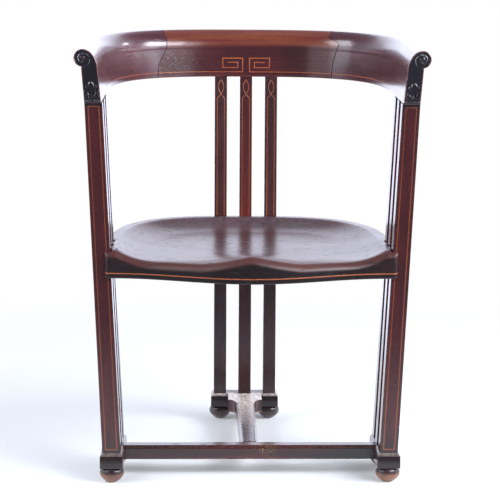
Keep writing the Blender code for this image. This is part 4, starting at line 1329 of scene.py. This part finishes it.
@dataclass
class Seat:
    """The dished seat: one board with a bowed front, a flat rim, a hollow and a pommel.

    Its plan is a squared ellipse behind, and a raised cosine bow with round corners in front. Its top falls
    from the rim in a powered curve to the floor of the hollow, which rises a little towards the front, and
    the pommel is a ridge with straight slopes.
    """

    levels: Levels
    posts: Posts
    lip: float = 0.008
    bow: float = 0.060
    corner_radius: float = 0.011
    straight: float = 0.100
    rim: float = 0.021
    arris: float = 0.002
    bevel_run: float = 0.018
    bevel_drop: float = 0.014
    dish_depth: float = 0.0215
    dish_wall: float = 0.075
    dish_power: float = 2.4
    front_reach: float = 0.055
    front_lift: float = 0.0045
    front_lift_start: float = 0.100
    pommel_rise: float = 0.0150
    pommel_spread: float = 0.080
    pommel_length: float = 0.190
    pommel_ridge: float = 0.006
    plan_power: float = 3.0
    notch_gap: float = 0.0022
    notch_ease: float = 0.0003
    string_raise: float = 0.009
    pommel_power: float = 1.2
    notch_margin: float = 0.004
    corner_share: float = 0.02
    bow_points: int = 70
    corner_points: int = 11
    back_points: int = 90
    brow_rows: int = 12
    face_rows: int = 5
    face_margin: float = 0.02
    wall_rows: int = 35
    floor_rows: int = 39
    spine_margin: float = 0.12
    front_zone: Pair = (0.03, -0.02)
    brow_zone: Pair = (0.014, 0.008)
    wall_zone: Pair = (0.34, 0.42)
    top_gap: float = 0.002
    brow_fading: float = 0.8
    face_soil: float = 0.92
    low_wear: float = 0.3
    wall_dust: float = 0.22

    def outline(self, side_inset: np.ndarray, front_inset: np.ndarray) -> tuple[np.ndarray, np.ndarray]:
        """Draw the plan in by an inset at its sides and its front, one ring for each pair of insets.

        Args:
            side_inset: Inset of the sides and the back.
            front_inset: Inset of the front.

        Returns:
            Rings of points, and how far each point belongs to the front, from 0 to 1.
        """
        side_inset, front_inset = side_inset[:, None], front_inset[:, None]
        half_width = self.levels.seat_half_width - side_inset
        front = front_inset - self.lip
        half_front = half_width - self.corner_radius
        share = np.linspace(0.0, 1.0, self.bow_points)[None]
        bow_x = half_front * share
        bow_y = front - self.bow * np.cos(QUARTER * share) ** 2
        turn = np.linspace(-QUARTER, 0.0, self.corner_points + 1)[None, 1:]
        turn_x = half_front + self.corner_radius * np.cos(turn)
        turn_y = front + self.corner_radius * (1 + np.sin(turn))
        angle = np.linspace(0.0, QUARTER, self.back_points)[None]
        reach = self.levels.seat_depth - self.straight - side_inset
        back_x = half_width * np.cos(angle) ** (2 / self.plan_power)
        back_x[:, -1] = 0.0
        back_y = self.straight + reach * np.sin(angle) ** (2 / self.plan_power)
        right = np.stack([np.concatenate([bow_x, turn_x, back_x], axis=1),
                          np.concatenate([bow_y, turn_y, back_y], axis=1)], axis=-1)
        frontness = np.concatenate([np.ones(self.bow_points), -turn[0] / QUARTER, np.zeros(self.back_points)])
        rings = np.concatenate([right, right[:, -2:0:-1] * (-1, 1)], axis=1)
        return rings, np.concatenate([frontness, frontness[-2:0:-1]])

    def top(self, flat: np.ndarray) -> np.ndarray:
        """Height of the dished top over points of the plan.

        Args:
            flat: Points as across and depth.

        Returns:
            A height for each point.
        """
        x, y = flat[..., 0], flat[..., 1]
        reach = self.levels.seat_depth - self.straight
        across = np.abs(x) / self.levels.seat_half_width
        along = np.clip(y - self.straight, 0.0, None) / reach
        level = (across ** self.plan_power + along ** self.plan_power) ** (1 / self.plan_power)
        level = np.maximum(level, TINY)
        slope = np.hypot((across / level) ** (self.plan_power - 1) / self.levels.seat_half_width,
                         (along / level) ** (self.plan_power - 1) / reach)
        from_edge = (1 - level) / np.maximum(slope, TINY)
        sink = np.clip((from_edge - self.rim) / self.dish_wall, 0.0, 1.0)
        ahead = self.levels.seat_front - self.levels.front
        fade = smooth(y, ahead + self.pommel_length, ahead)
        away = (np.hypot(x, self.pommel_ridge) - self.pommel_ridge) / self.pommel_spread
        pommel = self.pommel_rise * np.clip(1 - away, 0.0, 1.0) ** self.pommel_power * fade
        depth = self.dish_depth - self.front_lift * smooth(y, self.front_lift_start, ahead)
        return self.levels.seat_rim - depth * (1 - (1 - sink) ** self.dish_power) + pommel

    def skin(self) -> Skin:
        """Lay rings from the underside, round the lower arris, up the edge and over the brow into the hollow.

        Returns:
            The whole seat, whose first and last rings close onto its middle line.
        """
        turn = np.linspace(0.0, QUARTER, ARRIS_POINTS)
        inset = self.arris * (1 - np.sin(turn))
        low, _ = self.outline(inset, inset)
        low_z = self.levels.seat_base + self.arris * (1 - np.cos(turn))
        low_z = np.broadcast_to(low_z[:, None], low.shape[:2])
        turn = np.linspace(0.0, QUARTER, self.brow_rows)
        brow, front = self.outline(self.arris * (1 - np.cos(turn)), self.bevel_run * (1 - np.cos(turn)))
        drop = self.arris + (self.bevel_drop - self.arris) * front
        brow_z = self.top(brow[-1]) - drop * (1 - np.sin(turn))[:, None]
        face = np.repeat(brow[:1], self.face_rows, axis=0)
        climb = np.linspace(self.face_margin, 1 - self.face_margin, self.face_rows)[:, None]
        face_z = low_z[-1] * (1 - climb) + brow_z[0] * climb
        way = np.linspace(0.0, 1.0, self.wall_rows + 1)[1:]
        over, _ = self.outline(self.arris + (self.rim + self.dish_wall - self.arris) * way,
                               self.bevel_run + self.front_reach * way)
        share = np.linspace(0.0, 1.0, self.floor_rows + 1)[1:, None]
        floor = over[-1]
        right = floor[:len(floor) // 2 + 1]
        travel = run_along(right)
        travel = self.spine_margin + (1 - 2 * self.spine_margin) * travel / travel[-1]
        spine = right[0, 1] + (right[-1, 1] - right[0, 1]) * travel
        spine = np.concatenate([spine, spine[-2:0:-1]])
        inner = np.stack([floor[:, 0] * (1 - share), floor[:, 1] * (1 - share) + spine * share], axis=-1)
        flat = np.concatenate([low[:1] * (0, 1), low, face, brow, over, inner])
        z = np.concatenate([low_z[:1], low_z, face_z, brow_z, self.top(over), self.top(inner)])
        points = np.concatenate([flat + (0.0, self.levels.front), z[..., None]], axis=-1)
        return Skin(points, caps=False)

    def marks_at(self, points: np.ndarray) -> dict[str, np.ndarray]:
        """Work out where the seat is faded, dark and rubbed, and where the back of its hollow is dusty with a
        painted sheen, from each point's place.

        Args:
            points: Points of the finished seat.

        Returns:
            The marks by name.
        """
        flat = points[:, :2] - (0.0, self.levels.front)
        below = self.top(flat) - points[:, 2]
        ahead = smooth(flat[:, 1], *self.front_zone)
        brow = smooth(below, *self.brow_zone) * ahead
        # The front face below the brow is darkened nearly to black.
        face = smooth(below, *self.brow_zone[::-1]) * ahead
        low = smooth(points[:, 2], self.levels.seat_base + self.arris, self.levels.seat_base) * ahead
        # Grey-blue dust that is also a painted sheen on the back wall of the hollow.
        wall = smooth(flat[:, 1], *self.wall_zone) * smooth(below, self.top_gap, 0.0)
        return {"faded": self.brow_fading * brow, "soil": self.face_soil * face, "wear": self.low_wear * low,
                "dust": self.wall_dust * wall}

    def build(self) -> None:
        """Make the seat, notch it for the posts, and lay the string along its front."""
        mesh = mesh_of("seat board", [self.skin()], Grain.ALONG_X)
        board = add_object("seat board", mesh)
        margin = self.notch_margin
        heights = np.array([self.levels.seat_base - margin, self.levels.seat_rim + margin])
        cutters = []
        for stand in Stand:
            for step in (-1, 0, 1):
                notch = self.posts.shape(stand, step * self.levels.post_pitch, heights,
                                         (self.notch_gap, self.notch_ease))
                cutter = add_object("seat notch", mesh_of("seat notch", [notch]))
                cut = board.modifiers.new("notch", "BOOLEAN")
                cut.operation = "DIFFERENCE"
                cut.solver = "EXACT"
                cut.object = cutter
                cutters.append(cutter)
        bpy.context.view_layer.update()
        cut_mesh = bpy.data.meshes.new_from_object(board.evaluated_get(bpy.context.evaluated_depsgraph_get()))
        for leftover in (board, *cutters):
            bpy.data.objects.remove(leftover)
        points = np.empty(len(cut_mesh.vertices) * 3, dtype=np.float32)
        cut_mesh.vertices.foreach_get("co", points)
        points = points.reshape(-1, 3).astype(float)
        set_marks(cut_mesh, self.marks_at(points), fibres_of("dished_seat", points))
        close_up(cut_mesh)
        dress("dished_seat", cut_mesh, SEAT_WOOD, "seat")
        self.build_string()

    def build_string(self) -> None:
        """Lay a string along the bowed front and round its corners to the front legs."""
        rings, front = self.outline(np.zeros(1), np.zeros(1))
        count = int((front[:len(front) // 2] > self.corner_share).sum())
        right = rings[0, :count]
        line = np.concatenate([right[:0:-1] * (-1, 1), right])
        step = np.gradient(line, axis=0)
        away = unit(np.stack([step[:, 1], -step[:, 0]], axis=-1))
        number = np.arange(len(line))

        def place(along: np.ndarray, height: np.ndarray, lift: np.ndarray) -> np.ndarray:
            """Set a place along and up the front edge at a height above it."""
            x, y, nx, ny = (np.interp(along, number, values) for values in
                            (line[:, 0], line[:, 1], away[:, 0], away[:, 1]))
            return np.stack([x + nx * lift, y + ny * lift + self.levels.front, height], axis=-1)

        height = self.levels.seat_base + self.string_raise
        route = np.stack([number.astype(float), np.full(len(line), height)], axis=-1)
        dress_skins("inlaid_seat_string", [STRING.skin(route, place)], STRING_WOOD, "seat_stringing")


@dataclass
class Base:
    """Plinths on bun feet, the cross stretcher and the stem with its coved head."""

    levels: Levels
    foot_diameter: float = 0.0434
    foot_neck: float = 0.026
    foot_pad: float = 0.018
    foot_bulge_height: float = 0.0158
    foot_taper_power: float = 1.9
    chamfer_rise: float = 0.0048
    chamfer_run: float = 0.0043
    arris: float = 0.0007
    stretcher_width: float = 0.029
    stretcher_thickness: float = 0.0250
    stretcher_chamfer: float = 0.0044
    stem_front_width: float = 0.032
    stem_back_width: float = 0.036
    head_width: float = 0.068
    head_length: float = 0.0476
    cove_length: float = 0.026
    wear: float = 0.7
    arris_wear: float = 0.5
    plinth_soil: float = 0.85
    plinth_dust: float = 0.25
    back_plinth_dust: float = 0.8
    foot_overlap: float = 0.001
    foot_pad_share: float = 0.9
    foot_pad_ease: float = 0.0004
    foot_points: int = 72
    foot_crown_points: int = 16
    foot_taper_points: int = 25
    foot_fade: Pair = (1.3, 0.75)
    foot_fading: float = 0.9
    back_foot_fading: float = 0.2
    bar_rows: int = 160
    bar_dust: float = 0.04
    # Painted shade on the cross stretcher: ramps towards its ends, and how much its faces and top are
    # darkened.
    left_shade: Pair = (-0.02, -0.12)
    right_shade: Pair = (0.05, 0.20)
    face_soil: tuple[float, float, float] = (0.3, 0.1, 0.6)
    top_soil: Pair = (0.6, 0.2)
    fleck_core: float = 0.3
    flecks_mm: tuple[tuple[float, float, float], ...] = (
        (40.0, 51.0, 12.0), (24.0, 53.0, 14.0), (36.0, 37.0, 9.0))
    plug_places: tuple[float, ...] = (-0.1327, -0.0835)
    plug_diameter: float = 0.012
    plug_gap: float = 0.0011
    plug_proud: float = 0.00012
    plug_points: int = 36
    plug_profile: tuple[Pair, ...] = ((0.02, 1.0), (0.6, 0.95), (0.95, 0.8), (1.0, -3.0))
    stem_points: int = 40
    cove_points: int = 17
    head_points: int = 11
    stem_let_in: float = 0.00387
    stem_dust: float = 0.02
    stem_dust_gain: float = 0.96
    stem_dust_zone: Pair = (0.04, 0.02)

    def build(self) -> None:
        """Make every piece of the base."""
        for stand in Stand:
            self.build_plinth(stand)
            for name in stand.feet():
                self.build_foot(name)
        self.build_cross_stretcher()
        self.build_stem()

    def build_plinth(self, stand: Stand) -> None:
        """Stack rounded rectangles: up from the eased base, and in over the chamfer to the top.

        Args:
            stand: Stand that the plinth carries.
        """
        base, top = self.levels.plinth_base, self.levels.plinth_top
        ease, rise, run = self.arris, self.chamfer_rise, self.chamfer_run
        inset, height, rubbed = np.array([
            (ease, base, 0.3), (0.3 * ease, base + 0.3 * ease, 0.4), (0.0, base + ease, 0.2),
            (0.0, base + 3 * ease, 0.0), (0.0, top - rise - ease, 0.0), (0.12 * run, top - 0.92 * rise, 0.25),
            (0.88 * run, top - 0.12 * rise, 0.1), (run + 0.3 * ease, top - 0.1 * ease, 0.5),
            (run + 2 * ease, top, 0.4)]).T
        half_width, half_length = self.levels.plinth_width / 2, self.levels.plinth_length / 2
        rings, arris = rounded_rings(half_width - inset, half_length - inset, np.full_like(inset, ease))
        local = np.dstack([rings, np.broadcast_to(height[:, None], rings.shape[:2])])
        wear = np.maximum(self.arris_wear * arris, rubbed[:, None])
        back = stand is Stand.BACK
        plinth = Skin(stand.place(self.levels, local), marks={
            "wear": self.wear * wear, "dust": self.back_plinth_dust if back else self.plinth_dust,
            "soil": self.plinth_soil * (1 - wear)})
        name = f"plinth_{stand.name.lower()}"
        grain = Grain.ALONG_X if back else Grain.ALONG_Y
        dress_skins(f"chamfered_{name}", [plinth], BASE_WOOD, name, grain=grain)

    def build_foot(self, name: str) -> None:
        """Turn the bun's profile about its middle: a quarter ellipse above, and a powered taper to the pad.

        Args:
            name: The foot's node.
        """
        low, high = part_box(name)
        centre = (low + high) / 2
        bulge, neck, pad = self.foot_diameter / 2, self.foot_neck / 2, self.foot_pad / 2
        crown = self.levels.plinth_base - self.foot_bulge_height
        turn = np.linspace(QUARTER, 0.0, self.foot_crown_points)
        fall = np.linspace(0.0, 1.0, self.foot_taper_points + 1)[1:]
        taper = pad + (bulge - pad) * (1 - fall ** self.foot_taper_power)
        radius = np.concatenate([[neck], neck + (bulge - neck) * np.cos(turn), taper,
                                 [self.foot_pad_share * pad]])
        height = np.concatenate([[self.levels.plinth_base + self.foot_overlap],
                                 self.foot_bulge_height + crown * np.sin(turn),
                                 self.foot_bulge_height * (1 - fall), [0.0]])
        height[-2] = self.foot_pad_ease
        angle = np.linspace(0.0, 2 * math.pi, self.foot_points, endpoint=False)
        x, y = centre.x + radius[:, None] * np.cos(angle), centre.y + radius[:, None] * np.sin(angle)
        points = np.stack([x, y, np.broadcast_to(height[:, None], x.shape)], axis=-1)
        fading = self.back_foot_fading if "back" in name else self.foot_fading
        ring = fading * smooth(height / self.foot_bulge_height, *self.foot_fade)
        dress_skins(f"turned_{name}", [Skin(points, marks={"faded": ring[:, None]})], FOOT_WOOD, name)

    def build_cross_stretcher(self) -> None:
        """Carry a chamfered section across between the side plinths, and set plugs in its top."""
        top = self.levels.plinth_top
        end = self.levels.side_spread - self.levels.plinth_width / 2 + self.chamfer_run
        half, chamfer = np.full((2, self.bar_rows), [[self.stretcher_width / 2], [self.stretcher_chamfer]])
        aside, z, rubbed = self.bar_section(half, chamfer)
        x = np.broadcast_to(np.linspace(-end, end, self.bar_rows)[:, None], z.shape)
        fleck = np.zeros(z.shape)
        for fleck_x, fleck_z, reach in np.array(self.flecks_mm) / MM_IN_METRE:
            near = np.hypot(x - fleck_x, z - fleck_z)
            fleck = np.maximum(fleck, smooth(near, reach, self.fleck_core * reach) * (aside < 0))
        # Painted shade: the bar's faces are darker than its top, and both darken towards the ends, the faces
        # most at the right and the top most at the left.
        face = smooth(z, top, top - 2 * self.stretcher_chamfer)
        left, right = smooth(x, *self.left_shade), smooth(x, *self.right_shade)
        face_soil = np.tensordot(self.face_soil, [np.ones_like(x), left, right], 1)
        top_soil = np.tensordot(self.top_soil, [left, right], 1)
        bar = Skin(np.stack([x, self.levels.side_depth + aside, z], axis=-1), marks={
            "wear": self.wear * rubbed, "dust": self.bar_dust, "fleck": fleck,
            "soil": face * face_soil + (1 - face) * top_soil})
        dress_skins("chamfered_cross_stretcher", [bar], BASE_WOOD, "cross_stretcher", grain=Grain.ALONG_X)
        angle = np.linspace(0.0, 2 * math.pi, self.plug_points, endpoint=False)[None]
        radius = self.plug_diameter / 2
        share, lift = np.array(self.plug_profile).T[..., None]
        for number, place in enumerate(self.plug_places):
            for kind, reach, proud, finish in (("plug", radius - self.plug_gap, 2.0, BASE_WOOD),
                                               ("plug_gap", radius, 1.0, FILLER)):
                x, aside = reach * share * np.cos(angle), reach * share * np.sin(angle)
                z = np.broadcast_to(top + lift * proud * self.plug_proud, x.shape)
                disc = Skin(np.stack([place + x, self.levels.side_depth + aside, z], axis=-1))
                dress_skins(f"stretcher_{kind}_{number}", [disc], finish, grain=Grain.ALONG_Y)

    def build_stem(self) -> None:
        """Carry a chamfered section along the stem, which widens in quarter-ellipse coves to a head."""
        front = self.levels.side_depth + self.stretcher_width / 2 - self.chamfer_run / 9
        face = self.levels.back_depth - self.levels.plinth_width / 2
        head, back = face - self.head_length, face + self.stem_let_in
        radius = (self.head_width - self.stem_back_width) / 2
        bar = np.linspace(0.0, 1.0, self.stem_points)
        turn = np.linspace(0.0, QUARTER, self.cove_points + 1)[1:]
        bend = head - self.cove_length
        depth = np.concatenate([front + (bend - front) * bar, bend + self.cove_length * np.sin(turn),
                                np.linspace(head, back, self.head_points + 1)[1:]])
        width = self.stem_front_width + (self.stem_back_width - self.stem_front_width) * bar
        half = np.concatenate([width / 2, self.head_width / 2 - radius * np.cos(turn),
                               np.full(self.head_points, self.head_width / 2)])
        chamfer = np.where(half > self.stem_back_width / 2, self.arris, self.stretcher_chamfer)
        x, z, rubbed = self.bar_section(half, chamfer)
        y = np.broadcast_to(depth[:, None], x.shape)
        near, far = self.stem_dust_zone
        dust = self.stem_dust + self.stem_dust_gain * smooth(y, front + near, head + far)
        stem = Skin(np.stack([x, y, z], axis=-1), marks={"dust": dust, "wear": self.wear * rubbed})
        dress_skins("coved_stem_stretcher", [stem], BASE_WOOD, "stem_stretcher", grain=Grain.ALONG_Y)

    def bar_section(self, half: np.ndarray, chamfer: np.ndarray) -> tuple[np.ndarray, np.ndarray, np.ndarray]:
        """Work out a stretcher's section: up one side to its chamfered top, and down the other.

        Each point is set in from the side by an amount, at a height, and rubbed by a share.

        Args:
            half: Half the bar's width, for each row.
            chamfer: Width of the upper chamfer, for each row.

        Returns:
            Each point's distance from the middle, its height, and how far it is rubbed.
        """
        top, ease, wide = self.levels.plinth_top, self.arris, chamfer[:, None]
        low = top - self.stretcher_thickness
        profile = (
            (ease, low, 0.9), (0.3 * ease, low + 0.3 * ease, 1.0), (0.0, low + ease, 0.9),
            (0.0, low + 4 * ease, 0.0), (0.0, top - wide - 3 * ease, 0.0), (0.0, top - wide - ease, 0.25),
            (0.12 * wide, top - 0.92 * wide, 0.15), (0.88 * wide, top - 0.08 * wide, 0.0),
            (wide + 0.2 * ease, top, 0.2), (wide + 3 * ease, top, 0.0))
        inset, height, rubbed = (np.hstack([np.broadcast_to(value, wide.shape) for value in column])
                                 for column in zip(*profile))
        side = half[:, None] - inset
        return (np.hstack([side, -side[:, ::-1]]), np.hstack([height, height[:, ::-1]]),
                np.hstack([rubbed, rubbed[:, ::-1]]))


@dataclass(frozen=True)
class SoftLight:
    """A lit rectangle: its name, degrees to the right of the front and above the level, size and brightness.

    A brightness of 1 is white, and a light that isn't mirrored doesn't show in the polish.
    """

    name: str
    way: Pair
    size: Pair
    level: float
    mirrored: bool = True


@dataclass
class Studio:
    """White sweep, soft lights and the camera of the view."""

    levels: Levels
    camera_place: tuple[float, float, float] = (-0.08051, -2.68508, 0.83438)
    yaw: float = math.radians(1.65)
    pitch: float = math.radians(8.83)
    roll: float = math.radians(0.39)
    focal_pixels: float = 1571.22
    picture_pixels: float = 500.0
    sensor_mm: float = 36.0
    floor_colour: str = "E3E7E8"
    room_colour: str = "E5EAFD"
    floor_glow: float = 0.15
    front_tone: float = 0.32
    front_share: float = 0.2
    back_tone: float = 2.4
    ceiling_share: float = 0.2
    side_share: float = 0.6
    wall_half_width: float = 1.3
    light_target: tuple[float, float, float] = (0.0, 0.2, 0.76)
    light_distance: float = 2.4
    light_colour: str = "F3F5FF"
    lights: tuple[SoftLight, ...] = (
        SoftLight("window_right", (80.0, 12.0), (1.4, 1.1), 2.6),
        SoftLight("lamp_right", (72.0, 23.0), (1.2, 0.60), 22.0),
        SoftLight("lamp_right_soft", (46.0, 23.0), (1.1, 0.60), 13.0),
        SoftLight("lamp_right_faint", (27.0, 23.0), (0.8, 0.55), 5.0),
        SoftLight("screen_right", (40.0, 10.0), (1.6, 0.9), 1.1),
        SoftLight("screen_left", (-40.0, 10.0), (1.1, 0.9), 1.2),
        SoftLight("lamp_back", (130.0, 19.0), (0.3, 0.16), 24.0),
        SoftLight("window_left", (-74.0, 32.0), (1.5, 0.9), 8.0),
        SoftLight("wall_left", (-72.0, 10.0), (1.5, 0.9), 2.7),
        SoftLight("fill_left", (-40.0, 26.0), (0.9, 0.4), 12.0, mirrored=False),
        SoftLight("fill_right", (40.0, 26.0), (0.9, 0.4), 12.0, mirrored=False))
    tone_ramp: Pair = (-0.75, 0.1)
    ceiling_ramp: Pair = (0.25, 0.62)
    side_ramp: Pair = (0.3, 0.6)
    sweep_front: float = -1.3
    sweep_back: float = 2.4
    sweep_radius: float = 1.6
    sweep_height: float = 3.3
    sweep_half_width: float = 7.0
    sweep_points: int = 24
    paper_roughness: float = 0.9
    paper_sheen: float = 0.1
    front_ramp: Pair = (-0.6, 0.0)
    glow_ramp: Pair = (0.5, 1.6)

    def build(self) -> None:
        """Set up everything that isn't part of the chair."""
        self.build_camera()
        self.build_world()
        self.build_sweep()
        for light in self.lights:
            self.build_light(light)

    def build_camera(self) -> None:
        """Stand the camera in front, a little left of the middle, turned by yaw, pitch and roll."""
        level_share = math.cos(self.pitch)
        ahead = np.array([math.sin(self.yaw) * level_share, math.cos(self.yaw) * level_share,
                          -math.sin(self.pitch)])
        level = np.array([math.cos(self.yaw), -math.sin(self.yaw), 0.0])
        upright = np.cross(level, ahead)
        right = level * math.cos(self.roll) + upright * math.sin(self.roll)
        up = upright * math.cos(self.roll) - level * math.sin(self.roll)
        matrix = Matrix((right, up, -ahead)).transposed().to_4x4()
        x, depth, z = self.camera_place
        matrix.translation = (x, depth + self.levels.front, z)
        data = bpy.data.cameras.new("camera")
        data.sensor_width = self.sensor_mm
        data.lens = self.focal_pixels * self.sensor_mm / self.picture_pixels
        camera = add_object("camera", data)
        camera.matrix_world = matrix
        bpy.context.scene.camera = camera
        bpy.context.scene.view_settings.view_transform = "Standard"

    def build_world(self) -> None:
        """Surround the chair with white that is greyer in front, above and, in the polish, at the sides."""
        world = bpy.data.worlds.new("white_room")
        bpy.context.scene.world = world
        world.use_nodes = True
        tree = world.node_tree
        way = add_node(tree, "ShaderNodeTexCoord", output="Generated")
        axes = add_node(tree, "ShaderNodeSeparateXYZ", {0: way}).node.outputs
        aside = add_node(tree, "ShaderNodeMath", {0: axes["X"]}, operation="ABSOLUTE")
        rays = add_node(tree, "ShaderNodeLightPath").node.outputs
        tone, ceiling, side = (add_node(tree, "ShaderNodeMapRange", dict(zip(RAMP, values))) for values in (
            (axes["Y"], *self.tone_ramp, self.front_tone, self.back_tone),
            (axes["Z"], *self.ceiling_ramp, 1.0, self.ceiling_share),
            (aside, *self.side_ramp, 1.0, self.side_share)))
        beside = {0: rays["Is Glossy Ray"], MIX_NUMBER_A: 1.0, MIX_NUMBER_B: side}
        for share in (ceiling, add_node(tree, "ShaderNodeMix", beside)):
            tone = add_node(tree, "ShaderNodeMath", {0: tone, 1: share}, operation="MULTIPLY")
        seen = rays["Is Camera Ray"]
        strength = add_node(tree, "ShaderNodeMix", {0: seen, MIX_NUMBER_A: tone, MIX_NUMBER_B: 1.0})
        tints = {0: seen, MIX_A: linear(self.room_colour), MIX_B: WHITE}
        tint = add_node(tree, "ShaderNodeMix", tints, MIX_RESULT, data_type="RGBA")
        for name, value in (("Strength", strength), ("Color", tint)):
            tree.links.new(value, tree.nodes["Background"].inputs[name])

    def build_sweep(self) -> None:
        """Lay a floor that curves up into a wall behind: a straight run, a quarter circle and a rise."""
        turn = np.linspace(0.0, QUARTER, self.sweep_points)
        back, radius = self.sweep_back, self.sweep_radius
        y = np.concatenate([[self.sweep_front], back + radius * np.sin(turn), [back + radius]])
        z = np.concatenate([[0.0], radius * (1 - np.cos(turn)), [self.sweep_height]])
        x = np.array([-self.sweep_half_width, self.sweep_half_width])
        points = np.stack(np.broadcast_arrays(x[None], y[:, None], z[:, None]), axis=-1)
        mesh = bpy.data.meshes.new("white_sweep")
        mesh.from_pydata(points.reshape(-1, 3).tolist(), [], Skin(points, wrap=False, caps=False).faces())
        mesh.shade_smooth()
        sweep = add_object("white_sweep", mesh)
        mesh.materials.append(self.paper())

    def paper(self) -> bpy.types.Material:
        """Matt white paper, whose white is held up for the camera and for reflections.

        Returns:
            The sweep's material.
        """
        made = bpy.data.materials.new("paper_matt_white")
        made.use_nodes = True
        tree = made.node_tree
        shader = tree.nodes["Principled BSDF"]
        for name, value in (("Base Color", linear(self.floor_colour)), ("Roughness", self.paper_roughness),
                            ("Specular IOR Level", self.paper_sheen)):
            shader.inputs[name].default_value = value
        rays = add_node(tree, "ShaderNodeLightPath").node.outputs
        place = add_node(tree, "ShaderNodeNewGeometry", output="Position")
        away = add_node(tree, "ShaderNodeVectorMath", {0: place}, output="Value", operation="LENGTH")
        axes = add_node(tree, "ShaderNodeSeparateXYZ", {0: place}).node.outputs
        aside = add_node(tree, "ShaderNodeMath", {0: axes["X"]}, operation="ABSOLUTE")
        level, ahead, share = (add_node(tree, "ShaderNodeMapRange", dict(zip(RAMP, values))) for values in (
            (aside, self.wall_half_width, 2 * self.wall_half_width, self.back_tone,
             self.back_tone * self.side_share),
            (axes["Y"], *self.front_ramp, self.front_share, 1.0),
            (away, *self.glow_ramp, self.floor_glow, 1.0)))
        level = add_node(tree, "ShaderNodeMath", {0: level, 1: ahead}, operation="MULTIPLY")
        seen = rays["Is Camera Ray"]
        level = add_node(tree, "ShaderNodeMix", {0: seen, MIX_NUMBER_A: level, MIX_NUMBER_B: 1.0})
        tints = {0: seen, MIX_A: linear(self.room_colour), MIX_B: WHITE}
        tint = add_node(tree, "ShaderNodeMix", tints, MIX_RESULT, data_type="RGBA")
        glow = add_node(tree, "ShaderNodeEmission", {"Color": tint, "Strength": level})
        seen = add_node(tree, "ShaderNodeMath", {0: seen, 1: rays["Is Glossy Ray"]}, operation="MAXIMUM")
        share = add_node(tree, "ShaderNodeMath", {0: seen, 1: share}, operation="MULTIPLY")
        mix = add_node(tree, "ShaderNodeMixShader", {0: share, 1: shader.outputs["BSDF"], 2: glow})
        tree.links.new(mix, tree.nodes["Material Output"].inputs["Surface"])
        return made

    def build_light(self, lit: SoftLight) -> None:
        """Hang a soft light that faces the back of the rail.

        Args:
            lit: What the light is like.
        """
        turn, rise = np.radians(lit.way)
        back = np.array([math.sin(turn) * math.cos(rise), -math.cos(turn) * math.cos(rise), math.sin(rise)])
        data = bpy.data.lights.new(lit.name, "AREA")
        data.shape = "RECTANGLE"
        data.size, data.size_y = lit.size
        colour = linear(self.light_colour)
        data.color = colour[:3]
        data.energy = lit.level * math.pi * data.size * data.size_y / colour[1]
        light = add_object(lit.name, data)
        side = np.cross((0.0, 0.0, 1.0), back)
        side /= np.linalg.norm(side)
        matrix = Matrix((side, np.cross(back, side), back)).transposed().to_4x4()
        matrix.translation = np.array(self.light_target) + self.light_distance * back
        light.matrix_world = matrix
        light.visible_glossy = lit.mirrored


def dress_hidden_nodes() -> None:
    """Give the screws and dowels, which stay as they are inside the wood, their finishes."""
    steel = DrawnSteel().material()
    for name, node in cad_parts.items():
        if name.startswith(("seat_screw", "rail_dowel")):
            node.data.materials.clear()
            node.data.materials.append(steel if name.startswith("seat_screw") else BEECH.material())
            log.info("%s: kept, with its own finish", name)


def main() -> None:
    """Build the chair's pieces in order, then the studio."""
    logging.basicConfig(level=logging.INFO, format="%(name)s %(message)s")
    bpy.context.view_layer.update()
    levels = Levels.read()
    rail = Rail(levels)
    posts = Posts(levels, rail)
    rail.build()
    posts.build()
    Seat(levels, posts).build()
    Base(levels).build()
    dress_hidden_nodes()
    Studio(levels).build()


if __name__ == "__main__":
    main()
